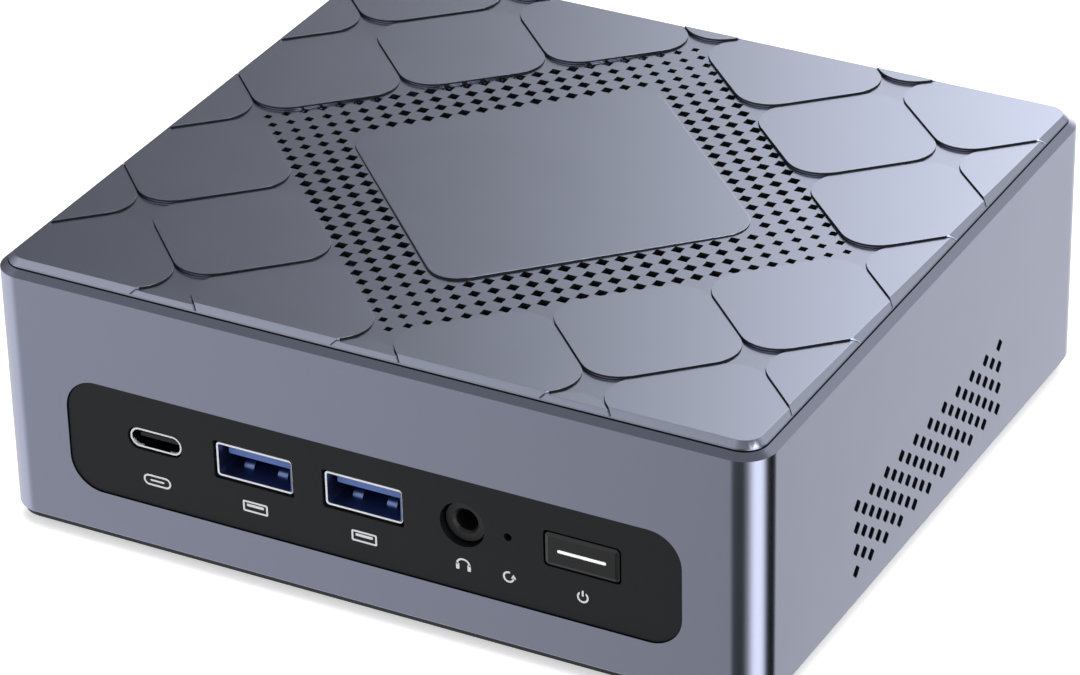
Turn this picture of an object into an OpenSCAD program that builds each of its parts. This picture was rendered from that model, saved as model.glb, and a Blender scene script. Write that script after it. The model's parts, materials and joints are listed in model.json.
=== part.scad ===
// Compact desktop computer: a four-walled shell with a lid, a base, panels with sockets at the
// front and back, and a blower, a mainboard, memory and storage inside.
// Origin: centre of the footprint, on the surface that it stands on. +X right, +Y back, +Z up.

/* [Case] */
// Width of the case, side to side
case_w = 128; // [127:0.5:132]
// Depth of the case, front to back
case_d = 116.8; // [116.8:0.2:120]
// Radius of the four upright corners
corner_r = 5; // [4.5:0.1:6]
// Thickness of the shell's walls
wall_t = 1.6; // [1.4:0.1:1.8]
// Height of the shell's lower edge above the surface
wall_z = 2.6; // [2.4:0.1:3]
// Height of the whole case
case_h = 46; // [46:0.1:48]

/* [Edges] */
// Inset of the shell's chamfer at its upper edge
chamfer_in = 1.25; // [1:0.05:1.3]
// Height of the shell's chamfer
chamfer_h = 0.8; // [0.5:0.1:1]
// Inset of the lid's flat top from the shell's outline
lid_in = 2.54; // [2.4:0.02:2.8]
// Height of the lid above the shell
lid_h = 1.6; // [1.4:0.1:1.8]
// Height of the dark gap between the shell and the lid
seam_h = 0.25; // [0.15:0.05:0.35]

/* [Front panel] */
// Width of the front panel's opening
panel_w = 103.2; // [102:0.2:104]
// Height of the front panel's opening
panel_h = 19.1; // [18.5:0.1:19.5]
// Corner radius of the front panel's opening
panel_r = 5.4; // [3:0.1:6]
// Height of the middle of the row of sockets above the shell's lower edge
socket_row = 18.3; // [18.3:0.1:18.5]

/* [Button] */
// Width of the power button
button_w = 12; // [11:0.1:12.4]
// Height of the power button
button_h = 5.5; // [5:0.1:5.8]
// Gap round the power button
button_gap = 0.3; // [0.2:0.05:0.35]

/* [Side vents] */
// Width of one vent hole
vent_w = 2.5; // [1.8:0.1:2.8]
// Height of one vent hole
vent_h = 2.4; // [1.8:0.1:2.6]
// Distance between full columns of holes
vent_step_y = 5.2; // [5:0.1:5.6]
// Distance between holes in a column
vent_step_z = 3.8; // [3.4:0.1:3.8]

/* [Lid vents] */
// Half the distance between neighbouring holes, measured along X and Y
ring_step = 2.08; // [1.9:0.01:2.1]
// Side of the largest square hole
ring_hole = 1.6; // [1.2:0.05:1.7]

/* [Blower] */
// Radius of the blower's wheel
wheel_r = 25; // [23:0.5:26]
// Number of blades on the wheel
blades = 33; // [21:2:37]
// Running clearance between the wheel's shaft and its bearing
shaft_gap = 0.03; // [0.02:0.01:0.06]

/* [Hidden] */
$fn = 48;
half_w = case_w / 2;
half_d = case_d / 2;
inner_x = half_w - wall_t;
inner_y = half_d - wall_t;
shell_top = case_h - lid_h;
socket_z = wall_z + socket_row;
port_gap = 0.2;

// Shell: posts for the case screws and ledges for the mainboard
vent_mid = 11.1;
post_gap = 1;
post_short = 5;
rib_t = 2;
rib_lap = 0.4;
ledge = [12.6, 8, 3];
ledge_out = 2.4;

// Lid
skirt_t = 1.8;
skirt_h = 3.4;
lid_land = 0.15;
lid_fit = 0.1;
band_from = 9;
band_to = 12;
tip_shrink = 0.5;
tip_reach = 22;

// Base and feet
foot_r = 6.5;
foot_x = 48;
foot_y = 37;
foot_step = 0.4;
foot_sunk = 0.5;
base_in = 0.78;
base_z = 1.5;
base_top = 3.6;
base_fit = 0.3;
slot_size = [2, 22];
slot_r = 0.9;
slot_step = 4.4;
bracket_x = 37.5;
bracket_y = 20;
bracket_r = 1.65;
post_x = half_w - 8;
post_y = half_d - 8.4;
post_r = 3.5;
screw_bore = 1.25;
screw_r = 1.2;
screw_l = 8;
head_r = 2.7;
head_h = 1.2;
recess = [2.6, 0.5, 1.2];

// Panels
hole_deep = 1;
panel_fit = 0.3;
panel_sunk = 0.25;
panel_t = 2.55;
panel_front = half_d - panel_sunk;
panel_back = panel_front - panel_t;
flange_lap = 1.5;
panel_z = wall_z + 16.55;
rear_w = 104;
rear_h = 30;
rear_r = 3;
rear_z = 24.6;
exhaust_z = 35.2;
exhaust_step = 4;
exhaust_x = [-32 : exhaust_step : 44];

// Sockets: X of each one's middle
type_c_x = -36.4;
type_a_x = [-19.3, -0.7];
audio_x = 15.9;
reset_x = 23.4;
button_x = 35.5;
socket_front = panel_front - 1.1;
sleeve_front = panel_front - 0.35;
type_a = [12.9, 13.5, 5.7];
type_a_hole = [13.7, 6.5];
tongue_sunk = 1.9;
type_c = [8.94, 9, 3.2];
type_c_hole = [9.5, 3.8];
sheet_t = 0.3;
button_front = panel_front + 0.05;
button_flange = panel_back - 0.3;
button_r = 0.6;
stem_r = 2;
pinhole_r = 0.65;
switch_tip = half_d - 6.8;
switch_face = switch_tip - 0.8;
reset_tip = panel_back - 0.8;
reset_face = reset_tip - 0.9;
light_w = 7.9;
light_h = 0.55;
light_r = 0.25;
light_deep = 1.6;
audio_hole_r = 3.7;
audio_nose_r = 3.3;
audio_bore_r = 1.8;
audio_bore_l = 12;

// Back sockets
inlet_x = 44;
inlet_r = 4;
inlet_bore_r = 3.1;
inlet_pin_r = 1.25;
inlet_l = 11.5;
display_x = [27, 8];
display = [15, 11, 5.6];
network_x = [-9.5, -26.5];
network = [16, 16, 13.4];
network_mouth = [11.8, 13, 7.6];
rear_usb_x = -43;
rear_usb = [13.6, 17, 14.6];
rear_usb_z = [4.3, 11.3];

// Mainboard
board_t = 1.6;
board_top = 17;
board_low = board_top - board_t;
inlet_z = board_top + 5.5;
chips = [[40, 6, 16, 16, 1.4], [-42, -38, 9, 9, 1], [40, -12, 7, 7, 1], [36, 28, 8, 8, 1],
         [-44, 32, 8, 6, 1], [6, -38, 10, 7, 1.2], [-12, -34, 4, 5, 1], [-19, -34, 4, 5, 1],
         [-26, -34, 4, 5, 1], [-33, -34, 4, 5, 1]];
coil_x = -37;
can_x = -47;
supply_step = 8.6;
board_x = 57;
board_y = 54;
board_notch = [5.6, 9];
mount_x = 54;
mount_y = 34;
leg_x = 28;
leg_y = [-24, 34];

// Cooling
blower_z = 30.5;
blower_h = 11.2;
blower_y = 2;
blower_skin = 1;
intake_r = 20;
hub_r = 11;
shaft_r = 1;
blade_l = 8;
blade_t = 0.5;
wheel_z = 32.6;
wheel_h = 7.4;
fin_y = 38.4;
fin_z = 32;
fin_size = [54, 16.4, 9.6];
fins = 36;
plate_size = [44, 44, 2.4];
cpu_size = [37.5, 27, 2.2];
pipe_r = 2.5;
pipe_x = [3.5, 12.5];
pipe_low = board_top + cpu_size[2] + plate_size[2] + pipe_r;
pipe_high = fin_z - pipe_r;
pipe_run = 9;
pipe_start = -17;
pipe_rise = 32;
spring_screw = 18;

// Memory and storage, under the mainboard
memory_x = 11.5;
memory_y = [6, 42];
memory_w = 69.6;
memory_l = 30;
memory_z = 12.8;
latch_x = memory_w / 2 + 1.4;
latch_l = 20;
latch_back = 4.2;
latch_h = 2.6;
latch_t = 0.8;
latch_eye = 1.1;
latch_pin = 0.55;
latch_bore = 0.6;
card_z = 12.6;
card_t = 0.8;
ssd_x = -41;
ssd_y = 2;
ssd_l = 80;
wifi_x = 3;
wifi_y = -41;
cell_x = 36;
cell_y = -40;

// A rectangle with round corners, about the origin.
module round_rect(w, h, r) {
    square([w - 2 * r, h], center = true);
    square([w, h - 2 * r], center = true);
    for (x = [-1, 1], y = [-1, 1])
        translate([x * (w / 2 - r), y * (h / 2 - r)]) circle(r);
}

// A round-cornered upright block from z = low to z = high.
module round_block(w, d, r, low, high) {
    translate([0, 0, low]) linear_extrude(high - low) round_rect(w, d, r);
}

// A round-cornered plate that faces +Y, from y = near to y = far, about x = 0 and z = 0.
module face_plate(w, h, r, near, far) {
    translate([0, far, 0]) rotate([90, 0, 0]) linear_extrude(far - near) round_rect(w, h, r);
}

// Carries a flat outline round a round-cornered rectangle. In the outline, x counts outwards
// from the rectangle's edge and y is the height.
module carried_round(w, d, r) {
    for (turn = [0:3]) {
        long = turn % 2 == 0 ? w : d;
        wide = turn % 2 == 0 ? d : w;
        rotate(turn * 90) {
            translate([long / 2 - r, wide / 2 - r, 0])
                rotate_extrude(angle = 90) translate([r, 0]) children();
            translate([0, wide / 2, 0]) rotate([90, 0, 90])
                linear_extrude(long - 2 * r, center = true) children();
        }
    }
}

// A box given by its size, centred on x and y, standing on z = 0.
module stand(size) {
    translate([-size[0] / 2, -size[1] / 2, 0]) cube(size);
}

// A rod along +Y.
module rod_y(r, near, far) {
    translate([0, far, 0]) rotate([90, 0, 0]) cylinder(r = r, h = far - near);
}

// A wire that runs straight from point to point.
module wire(points, r) {
    for (i = [0:len(points) - 2])
        hull() {
            translate(points[i]) sphere(r, $fn = r > 2 ? 24 : 10);
            translate(points[i + 1]) sphere(r, $fn = r > 2 ? 24 : 10);
        }
}

module at_corners(x, y) {
    for (sx = [-1, 1], sy = [-1, 1]) translate([sx * x, sy * y, 0]) children();
}

// Case ------------------------------------------------------------------------------------

module side_vents() {
    for (k = [-10:10]) {
        rows = k % 2 == 0 ? 4 : 3;
        for (i = [0:rows - 1])
            translate([0, k * vent_step_y / 2, wall_z + vent_mid + (i - (rows - 1) / 2) * vent_step_z])
                rotate([90, 0, 90]) linear_extrude(case_w + 2, center = true)
                    polygon([[vent_w / 2, 0], [0, vent_h / 2], [-vent_w / 2, 0], [0, -vent_h / 2]]);
    }
}

module shell_post() {
    height = shell_top - base_top - post_gap - post_short;
    difference() {
        union() {
            cylinder(r = post_r, h = height);
            translate([0, -rib_t / 2, 0]) cube([inner_x - post_x + rib_lap, rib_t, height]);
            translate([-rib_t / 2, 0, 0]) cube([rib_t, inner_y - post_y + rib_lap, height]);
        }
        translate([0, 0, -1]) cylinder(r = screw_bore, h = screw_l + 3);
    }
}

module main_shell() {
    color("#777b8a") {
        difference() {
            carried_round(case_w, case_d, corner_r)
                polygon([[-wall_t, wall_z], [0, wall_z], [0, shell_top - chamfer_h],
                         [-chamfer_in, shell_top], [-wall_t, shell_top]]);
            side_vents();
            translate([0, 0, panel_z]) face_plate(panel_w, panel_h, panel_r, -half_d - 1, -inner_y + 1);
            translate([0, 0, rear_z]) face_plate(rear_w, rear_h, rear_r, inner_y - 1, half_d + 1);
        }
        for (mx = [0, 1], my = [0, 1])
            mirror([mx, 0, 0]) mirror([0, my, 0])
                translate([post_x, post_y, base_top + post_gap]) shell_post();
        for (sx = [-1, 1], sy = [-1, 1])
            translate([sx * mount_x, sy * mount_y, board_top]) difference() {
                translate([sx * ledge_out, 0, 0]) stand(ledge);
                translate([0, 0, -1]) cylinder(r = screw_bore, h = ledge[2] + 2);
            }
    }
}

module lid_holes() {
    for (i = [-band_to:band_to], j = [-band_to:band_to])
        if (max(abs(i), abs(j)) >= band_from) {
            x = ring_step * (i - j);
            y = ring_step * (i + j);
            corner = 2 * band_to * ring_step;
            tip = min(norm([abs(x) - corner, y]), norm([x, abs(y) - corner]));
            side = ring_hole - tip_shrink * (1 - min(1, tip / tip_reach));
            translate([x, y, shell_top]) cube([side, side, 8], center = true);
        }
}

module top_cover() {
    low = shell_top + seam_h;
    flat_w = case_w - 2 * lid_in;
    flat_d = case_d - 2 * lid_in;
    bevel = lid_in - chamfer_in - lid_fit;
    color("#8d8f9b") difference() {
        union() {
            round_block(flat_w, flat_d, corner_r - lid_in, low, case_h);
            carried_round(flat_w, flat_d, corner_r - lid_in)
                polygon([[-0.5, low], [bevel, low], [bevel, low + lid_land], [0, case_h], [-0.5, case_h]]);
            carried_round(2 * inner_x, 2 * inner_y, corner_r - wall_t)
                polygon([[-skirt_t, low - skirt_h], [0, low - skirt_h], [0, low], [-skirt_t, low]]);
        }
        lid_holes();
    }
}

module bottom_cover() {
    w = case_w - 2 * base_in;
    d = case_d - 2 * base_in;
    color("#26272a") difference() {
        union() {
            round_block(w, d, corner_r - base_in, base_z, wall_z);
            round_block(2 * (inner_x - base_fit), 2 * (inner_y - base_fit), corner_r - wall_t - base_fit,
                        wall_z, base_top);
        }
        at_corners(foot_x, foot_y) cylinder(r = foot_r + 0.1, h = base_z + foot_sunk);
        at_corners(post_x, post_y) {
            cylinder(r = screw_r + 0.4, h = base_top + 1);
            cylinder(r = head_r + 0.3, h = base_z + head_h);
        }
        // Threaded holes for a wall or monitor bracket
        at_corners(bracket_x, bracket_y) cylinder(r = bracket_r, h = base_top + 1);
        // Air slots under the memory and the drive
        for (k = [-6:6]) translate([k * slot_step, 0, 0])
            round_block(slot_size[0], slot_size[1], slot_r, 0, base_top + 1);
    }
}

module foot() {
    color("#1b1b1d") {
        cylinder(r = foot_r - foot_step, h = foot_step);
        translate([0, 0, foot_step]) cylinder(r = foot_r, h = base_z + foot_sunk - foot_step);
    }
}

module case_screws() {
    color("#4a4b4e") at_corners(post_x, post_y) difference() {
        union() {
            translate([0, 0, base_z]) cylinder(r = head_r, h = head_h);
            translate([0, 0, base_z + head_h]) cylinder(r = screw_r, h = screw_l);
        }
        for (a = [0, 90]) rotate(a) translate([0, 0, base_z]) cube(recess, center = true);
    }
}

// Panels ----------------------------------------------------------------------------------

module front_panel() {
    color("#2c2d30") difference() {
        translate([0, 0, panel_z]) {
            face_plate(panel_w - panel_fit, panel_h - panel_fit, panel_r - panel_fit / 2,
                       -panel_front, -panel_back);
            face_plate(panel_w + 2 * flange_lap, panel_h + 2 * flange_lap, panel_r + flange_lap,
                       -inner_y, -panel_back);
        }
        translate([0, 0, socket_z]) {
            for (x = type_a_x) translate([x, 0, 0])
                face_plate(type_a_hole[0], type_a_hole[1], 0.4, -half_d, -panel_back + hole_deep);
            translate([type_c_x, 0, 0])
                face_plate(type_c_hole[0], type_c_hole[1], 1.8, -half_d, -panel_back + hole_deep);
            translate([audio_x, 0, 0]) rod_y(audio_hole_r, -half_d, -panel_back + hole_deep);
            translate([reset_x, 0, 0]) rod_y(pinhole_r, -half_d, -panel_back + hole_deep);
            translate([button_x, 0, 0])
                face_plate(button_w + 2 * button_gap, button_h + 2 * button_gap, button_r + 0.1,
                           -half_d, -panel_back + hole_deep);
        }
    }
}

module port_hole(x, z, w, h, r) {
    translate([x, 0, z]) face_plate(w + 2 * port_gap, h + 2 * port_gap, r, panel_back - hole_deep, half_d);
}

module rear_panel() {
    color("#2c2d30") difference() {
        translate([0, 0, rear_z]) {
            face_plate(rear_w - panel_fit, rear_h - panel_fit, rear_r - panel_fit / 2,
                       panel_back, panel_front);
            face_plate(rear_w + 2 * flange_lap, rear_h + 2 * flange_lap, rear_r + flange_lap,
                       panel_back, inner_y);
        }
        translate([inlet_x, 0, inlet_z]) rod_y(inlet_r + port_gap, panel_back - hole_deep, half_d);
        for (x = display_x)
            port_hole(x, board_top + display[2] / 2 + 0.4, display[0], display[2], 0.6);
        for (x = network_x) port_hole(x, board_top + network[2] / 2, network[0], network[2], 0.3);
        port_hole(rear_usb_x, board_top + rear_usb[2] / 2, rear_usb[0], rear_usb[2], 0.3);
        for (x = exhaust_x)
            translate([x, 0, exhaust_z])
                face_plate(2.4, 7, 1.1, panel_back - hole_deep, half_d);
    }
}

// Buttons and switches --------------------------------------------------------------------

module power_button() {
    color("#313235") translate([button_x, 0, socket_z]) {
        difference() {
            face_plate(button_w, button_h, button_r, -button_front, -button_flange);
            face_plate(light_w, light_h, light_r, -button_front - 1, -button_front + light_deep);
        }
        face_plate(button_w + 1.8, button_h + 1.8, 0.9, -button_flange, -button_flange + 1);
        rod_y(stem_r, -button_flange + 1, -switch_tip);
    }
}

module power_light_bar() {
    color("white") translate([button_x, 0, socket_z])
        face_plate(light_w, light_h, light_r, -button_front, -button_front + light_deep);
}

// A small push switch that faces the front. tip and face are the plunger's and the body's fronts.
module push_switch(x, w, l, r, face) {
    difference() {
        translate([x, -face + l / 2, board_top]) stand([w, l, socket_z - board_top + r + 1.6]);
        translate([x, 0, socket_z]) rod_y(r, -face - 1, -face + 2.4);
    }
}

module power_switch() {
    color("#202124") push_switch(button_x, 6.4, 4, 1.65, switch_face);
}

module power_switch_plunger() {
    color("#b9bcc2") translate([button_x, 0, socket_z]) rod_y(1.6, -switch_tip, -switch_face + 1.2);
}

module reset_switch() {
    color("#202124") push_switch(reset_x, 4.6, 3.6, 0.95, reset_face);
}

module reset_plunger() {
    color("#b9bcc2") translate([reset_x, 0, socket_z]) rod_y(0.9, -reset_tip, -reset_face + 1.2);
}

// Front sockets ---------------------------------------------------------------------------

// A sheet-metal sleeve round a socket, closed at the back, with two rails that stand on the board.
module socket_sleeve(x, size, r, front) {
    translate([x, 0, socket_z]) {
        difference() {
            face_plate(size[0], size[2], r, -front, -front + size[1]);
            face_plate(size[0] - 2 * sheet_t, size[2] - 2 * sheet_t, r - sheet_t / 2,
                       -front - 1, -front + size[1] - sheet_t);
        }
    }
    rail_h = socket_z - size[2] / 2 - board_top + 0.15;
    for (side = [-1, 1])
        translate([x + side * size[0] / 4, -front + size[1] / 2 + 2, board_top])
            stand([1.2, size[1] - 5, rail_h]);
}

module type_a_shell(i) {
    color("#c9ccd2") socket_sleeve(type_a_x[i], type_a, 0.6, sleeve_front);
}

module type_a_tongue(i) {
    back = -sleeve_front + type_a[1] - sheet_t;
    color("#3a64a8") translate([type_a_x[i], 0, socket_z]) {
        face_plate(type_a[0] - 2 * sheet_t - 0.1, type_a[2] - 2 * sheet_t - 0.1, 0.3, back - 2.4, back);
        translate([0, 0, 1.05]) face_plate(11.1, 1.9, 0.3, -sleeve_front + tongue_sunk, back - 2.4);
    }
}

module type_c_shell() {
    color("#c9ccd2") socket_sleeve(type_c_x, type_c, 1.5, sleeve_front);
}

module type_c_tongue() {
    back = -sleeve_front + type_c[1] - sheet_t;
    color("#1a1a1c") translate([type_c_x, 0, socket_z]) {
        face_plate(type_c[0] - 2 * sheet_t - 0.1, type_c[2] - 2 * sheet_t - 0.1, 1.2, back - 1.6, back);
        face_plate(6.7, 0.7, 0.25, -sleeve_front + 1.05, back - 1.6);
    }
}

module audio_jack() {
    color("#1f2022") difference() {
        union() {
            translate([audio_x, 0, socket_z]) rod_y(audio_nose_r, -socket_front, -panel_back + 0.4);
            translate([audio_x, -panel_back + 0.4 + 6, board_top]) stand([6.6, 12, 7.4]);
        }
        translate([audio_x, 0, socket_z])
            rod_y(audio_bore_r, -socket_front - 1, -socket_front + audio_bore_l);
    }
}

// Mainboard -------------------------------------------------------------------------------

module mainboard() {
    color("#1d3b2c") difference() {
        translate([0, 0, board_low]) linear_extrude(board_t) difference() {
            square([2 * board_x, 2 * board_y], center = true);
            for (sx = [-1, 1], sy = [-1, 1])
                translate([sx * board_x, sy * board_y]) square(2 * board_notch, center = true);
        }
        at_corners(mount_x, mount_y) translate([0, 0, board_low - 1]) cylinder(r = 1.6, h = 4);
        at_corners(spring_screw, spring_screw) translate([0, 0, board_low - 1]) cylinder(r = 1, h = 4);
    }
}

module board_screws() {
    color("#8b8d92") at_corners(mount_x, mount_y) difference() {
        union() {
            translate([0, 0, board_low - 1.6]) cylinder(r = 2.6, h = 1.6);
            translate([0, 0, board_low]) cylinder(r = screw_r, h = board_t + 2.6);
        }
        for (a = [0, 90]) rotate(a) translate([0, 0, board_low - 1.6]) cube(recess, center = true);
    }
}

module board_chips() {
    color("#2a2b2e") translate([0, 0, board_top]) {
        for (chip = chips) translate([chip[0], chip[1], 0]) stand([chip[2], chip[3], chip[4]]);
    }
}

module power_coils() {
    color("#6b6d72") translate([0, 0, board_top])
        for (k = [-2:2]) translate([coil_x, k * supply_step, 0]) {
            round_block(7, 7, 1, 0, 4);
            translate([0, 0, 4]) cylinder(r = 1.2, h = 0.3);
        }
}

module capacitors() {
    color("#b5b8be") translate([0, 0, board_top])
        for (k = [-2:2]) translate([can_x, k * supply_step, 0]) {
            round_block(6.4, 6.4, 0.8, 0, 0.8);
            translate([0, 0, 0.8]) cylinder(r = 3, h = 5.2);
        }
}

module cpu_package() {
    color("#3f6b4b") translate([0, 0, board_top]) {
        stand([cpu_size[0], cpu_size[1], 1.4]);
        translate([-4, 0, 1.4]) stand([13, 10, cpu_size[2] - 1.4]);
        translate([10, 0, 1.4]) stand([8, 7, cpu_size[2] - 1.4]);
    }
}

// Cooling ---------------------------------------------------------------------------------

module heatsink_base() {
    low = board_top + cpu_size[2];
    color("#b87348") difference() {
        round_block(plate_size[0], plate_size[1], 2, low, low + plate_size[2]);
        at_corners(spring_screw, spring_screw) translate([0, 0, low - 1]) cylinder(r = 1.3, h = 6);
    }
}

module heatsink_screws() {
    top = board_top + cpu_size[2] + plate_size[2];
    color("#8b8d92") at_corners(spring_screw, spring_screw) {
        translate([0, 0, top]) cylinder(r = 2.2, h = 1.6);
        translate([0, 0, board_low]) cylinder(r = 0.95, h = top - board_low);
    }
}

module heat_pipes() {
    color("#c07a4c") for (x = pipe_x)
        wire([[x, pipe_start, pipe_low], [x, pipe_rise, pipe_low],
              [x, pipe_rise + pipe_run, pipe_high], [x, fin_y + fin_size[1] - pipe_r, pipe_high]], pipe_r);
}

module fin_stack() {
    step = (fin_size[0] - 0.3) / (fins - 1);
    color("#b9bcc2") translate([-fin_size[0] / 2, fin_y, fin_z]) {
        cube([fin_size[0], fin_size[1], 0.5]);
        translate([0, 0, fin_size[2] - 0.4]) cube([fin_size[0], fin_size[1], 0.4]);
        for (i = [0:fins - 1]) translate([i * step, 0, 0]) cube([0.3, fin_size[1], fin_size[2]]);
    }
}

module blower_outline(grow) {
    r = wheel_r + 2 + grow;
    circle(r);
    translate([-r, 0]) square([2 * r, fin_y - 0.4 - blower_y]);
}

module blower_housing() {
    color("#232427") translate([0, blower_y, 0]) {
        difference() {
            translate([0, 0, blower_z]) linear_extrude(blower_h - 1) blower_outline(1.4);
            translate([0, 0, blower_z + blower_skin]) linear_extrude(blower_h) blower_outline(0);
            translate([-wheel_r - 2, wheel_r - 5, blower_z + blower_skin])
                cube([2 * wheel_r + 4, 20, blower_h]);
            translate([0, 0, blower_z - 1]) cylinder(r = 2, h = 4);
        }
        for (x = [-leg_x, leg_x], y = leg_y) translate([x, y - blower_y, board_top]) {
            cylinder(r = 2.4, h = blower_z - board_top);
            translate([0, 0, blower_z - board_top]) cylinder(r = 2.4, h = 1);
        }
    }
}

module blower_cover() {
    top = blower_z + blower_h;
    color("#2c2d30") translate([0, blower_y, top - 1]) linear_extrude(1) difference() {
        blower_outline(1.4);
        circle(intake_r);
    }
}

module blower_bearing() {
    color("#b59a5b") translate([0, blower_y, blower_z]) difference() {
        cylinder(r = 2, h = 6);
        translate([0, 0, 1]) cylinder(r = shaft_r + shaft_gap, h = 6);
    }
}

module blower_shaft() {
    color("#c9ccd2") translate([0, blower_y, blower_z + 1.1])
        cylinder(r = shaft_r, h = wheel_z + wheel_h - blower_z - 1.1 - 1);
}

module blower_wheel() {
    color("#33353a") translate([0, blower_y, wheel_z]) {
        difference() {
            cylinder(r = hub_r, h = wheel_h);
            translate([0, 0, -1]) cylinder(r = hub_r - 1.2, h = wheel_h);
            translate([0, 0, wheel_h - 1.2]) cylinder(r = shaft_r, h = 0.2);
        }
        difference() {
            cylinder(r = wheel_r, h = 0.8);
            translate([0, 0, -1]) cylinder(r = hub_r - 0.6, h = 3);
        }
        for (i = [0:blades - 1]) rotate(i * 360 / blades)
            translate([wheel_r - blade_l - 0.6, 0, 0.4]) rotate(-28)
                translate([0, -blade_t / 2, 0]) cube([blade_l, blade_t, wheel_h - 0.4]);
    }
}

module blower_cable() {
    color("#1b1b1d") {
        translate([42, -26, board_top]) stand([6, 4, 4]);
        wire([[42, -26, 20.4], [42, -25, 25], [40, -22, 31], [37, -19, 34], [32, -16, 34.6],
              [27.2, -14.2, 34.6]], 1.1);
    }
}

// Memory and storage ----------------------------------------------------------------------

module memory_socket(i) {
    color("#1f2022") translate([memory_x, memory_y[i], 0]) {
        difference() {
            translate([0, 1, board_low - 4.6]) stand([memory_w + 5.6, 6, 4.6]);
            translate([0, -2.5, memory_z]) cube([memory_w + 0.3, 6, 1.5], center = true);
        }
        for (side = [-1, 1]) {
            translate([side * latch_x, -latch_back, board_low - 4.2]) cylinder(r = latch_pin, h = 4.2);
            translate([side * latch_x, -3, board_low - 0.9]) stand([2, 4, 0.9]);
        }
    }
}

module memory_module(i) {
    low = memory_z - 0.6;
    color("#1f5a3c") translate([memory_x, memory_y[i], 0]) {
        difference() {
            translate([0, -memory_l / 2, low]) stand([memory_w, memory_l, 1.2]);
            for (side = [-1, 1])
                translate([side * memory_w / 2, -18, low - 1]) cylinder(r = 1.6, h = 4);
        }
        for (k = [-1.5:1.5]) translate([k * 16, -15, low - 1.1]) stand([11, 13, 1.1]);
    }
}

// A sprung arm beside the memory module, held on the socket's pin.
module memory_latch(i, side) {
    color("#b9bcc2")
        translate([memory_x + side * latch_x, memory_y[i] - latch_back, board_low - 3.8]) {
            difference() {
                union() {
                    cylinder(r = latch_eye, h = latch_h);
                    translate([-latch_t / 2, -latch_l, 0]) cube([latch_t, latch_l - 0.9, latch_h]);
                    translate([-latch_t / 2, -latch_l, 0]) mirror([side > 0 ? 0 : 1, 0, 0])
                        cube([2.4, 1, latch_h]);
                }
                translate([0, 0, -1]) cylinder(r = latch_bore, h = 5);
            }
        }
}

module card_sockets() {
    color("#1f2022") {
        difference() {
            translate([ssd_x, ssd_y + ssd_l / 2 + 2, board_low - 4.2]) stand([22, 7, 4.2]);
            translate([ssd_x, ssd_y + ssd_l / 2 - 3, card_z - 0.1]) cube([22.4, 8, 1], center = true);
        }
        difference() {
            translate([wifi_x + 17, wifi_y, board_low - 4.2]) stand([7, 22, 4.2]);
            translate([wifi_x + 12, wifi_y, card_z - 0.1]) cube([8, 22.4, 1], center = true);
        }
    }
}

// A plug-in card along +Y with its contact end at the back and its screw notch at the front.
module plug_card(l, chips) {
    difference() {
        translate([0, 0, -card_t / 2]) stand([22, l, card_t]);
        translate([0, -l / 2, -2]) cylinder(r = 1.8, h = 4);
    }
    for (y = chips) translate([0, y, -card_t / 2 - 1.2]) stand([13, 14, 1.2]);
}

module solid_state_drive() {
    color("#222b3a") translate([ssd_x, ssd_y, card_z]) plug_card(ssd_l, [-24, -6, 20]);
}

module wireless_card() {
    color("#24523a") translate([wifi_x, wifi_y, card_z]) rotate(-90) plug_card(30, [0]);
}

module card_screw() {
    translate([0, 0, card_z + card_t / 2]) cylinder(r = 2.5, h = board_low - card_z - card_t / 2);
    translate([0, 0, card_z - card_t / 2]) cylinder(r = 1.2, h = card_t);
    translate([0, 0, card_z - card_t / 2 - 0.8]) cylinder(r = 2.2, h = 0.8);
}

module card_screws() {
    color("#c9ccd2") {
        translate([ssd_x, ssd_y - ssd_l / 2, 0]) card_screw();
        translate([wifi_x - 15, wifi_y, 0]) card_screw();
    }
}

module antennas() {
    low = shell_top + seam_h - 0.6;
    color("#1d1e20") for (side = [-1, 1]) translate([side * 42, -44, low]) stand([30, 8, 0.6]);
}

module antenna_cables() {
    color("#3a3b3e") for (side = [-1, 1]) {
        edge = -board_y - 0.7;
        wire([[side * 42, -46, shell_top + seam_h - 1.2], [side * 46, -50, 42], [side * 48, -53, 38],
              [side * 48, edge, 32], [side * 48, edge, 14.4], [side * 46, -51, 11.6],
              [side * 26 - 6, -53, 10.4], [-9, -42 + side * 3, 10.4], [-9, -41 + side * 3, 11.6]], 0.55);
    }
}

module coin_cell() {
    color("#c9ccd2") translate([cell_x, cell_y, 11.4]) {
        cylinder(r = 10, h = 2.4);
        translate([0, 0, 2.4]) cylinder(r = 8.8, h = 0.8);
    }
}

module coin_cell_holder() {
    color("#1f2022") translate([cell_x, cell_y, 11]) difference() {
        cylinder(r = 11.6, h = board_low - 11);
        translate([0, 0, -1]) cylinder(r = 10.1, h = 4.6);
        translate([0, -8, 0]) cube([12, 12, 4], center = true);
    }
}

// Back sockets ----------------------------------------------------------------------------

module power_inlet() {
    color("#1f2022") translate([inlet_x, 0, 0]) {
        difference() {
            union() {
                translate([0, socket_front - 9.6, board_top]) stand([9, 12, 11]);
                translate([0, 0, inlet_z]) rod_y(inlet_r, socket_front - 4, socket_front);
            }
            translate([0, 0, inlet_z])
                rod_y(inlet_bore_r, socket_front - inlet_l + 0.5, socket_front + 1);
        }
        translate([0, 0, inlet_z]) rod_y(inlet_pin_r, socket_front - inlet_l, socket_front - 1.5);
    }
}

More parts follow.
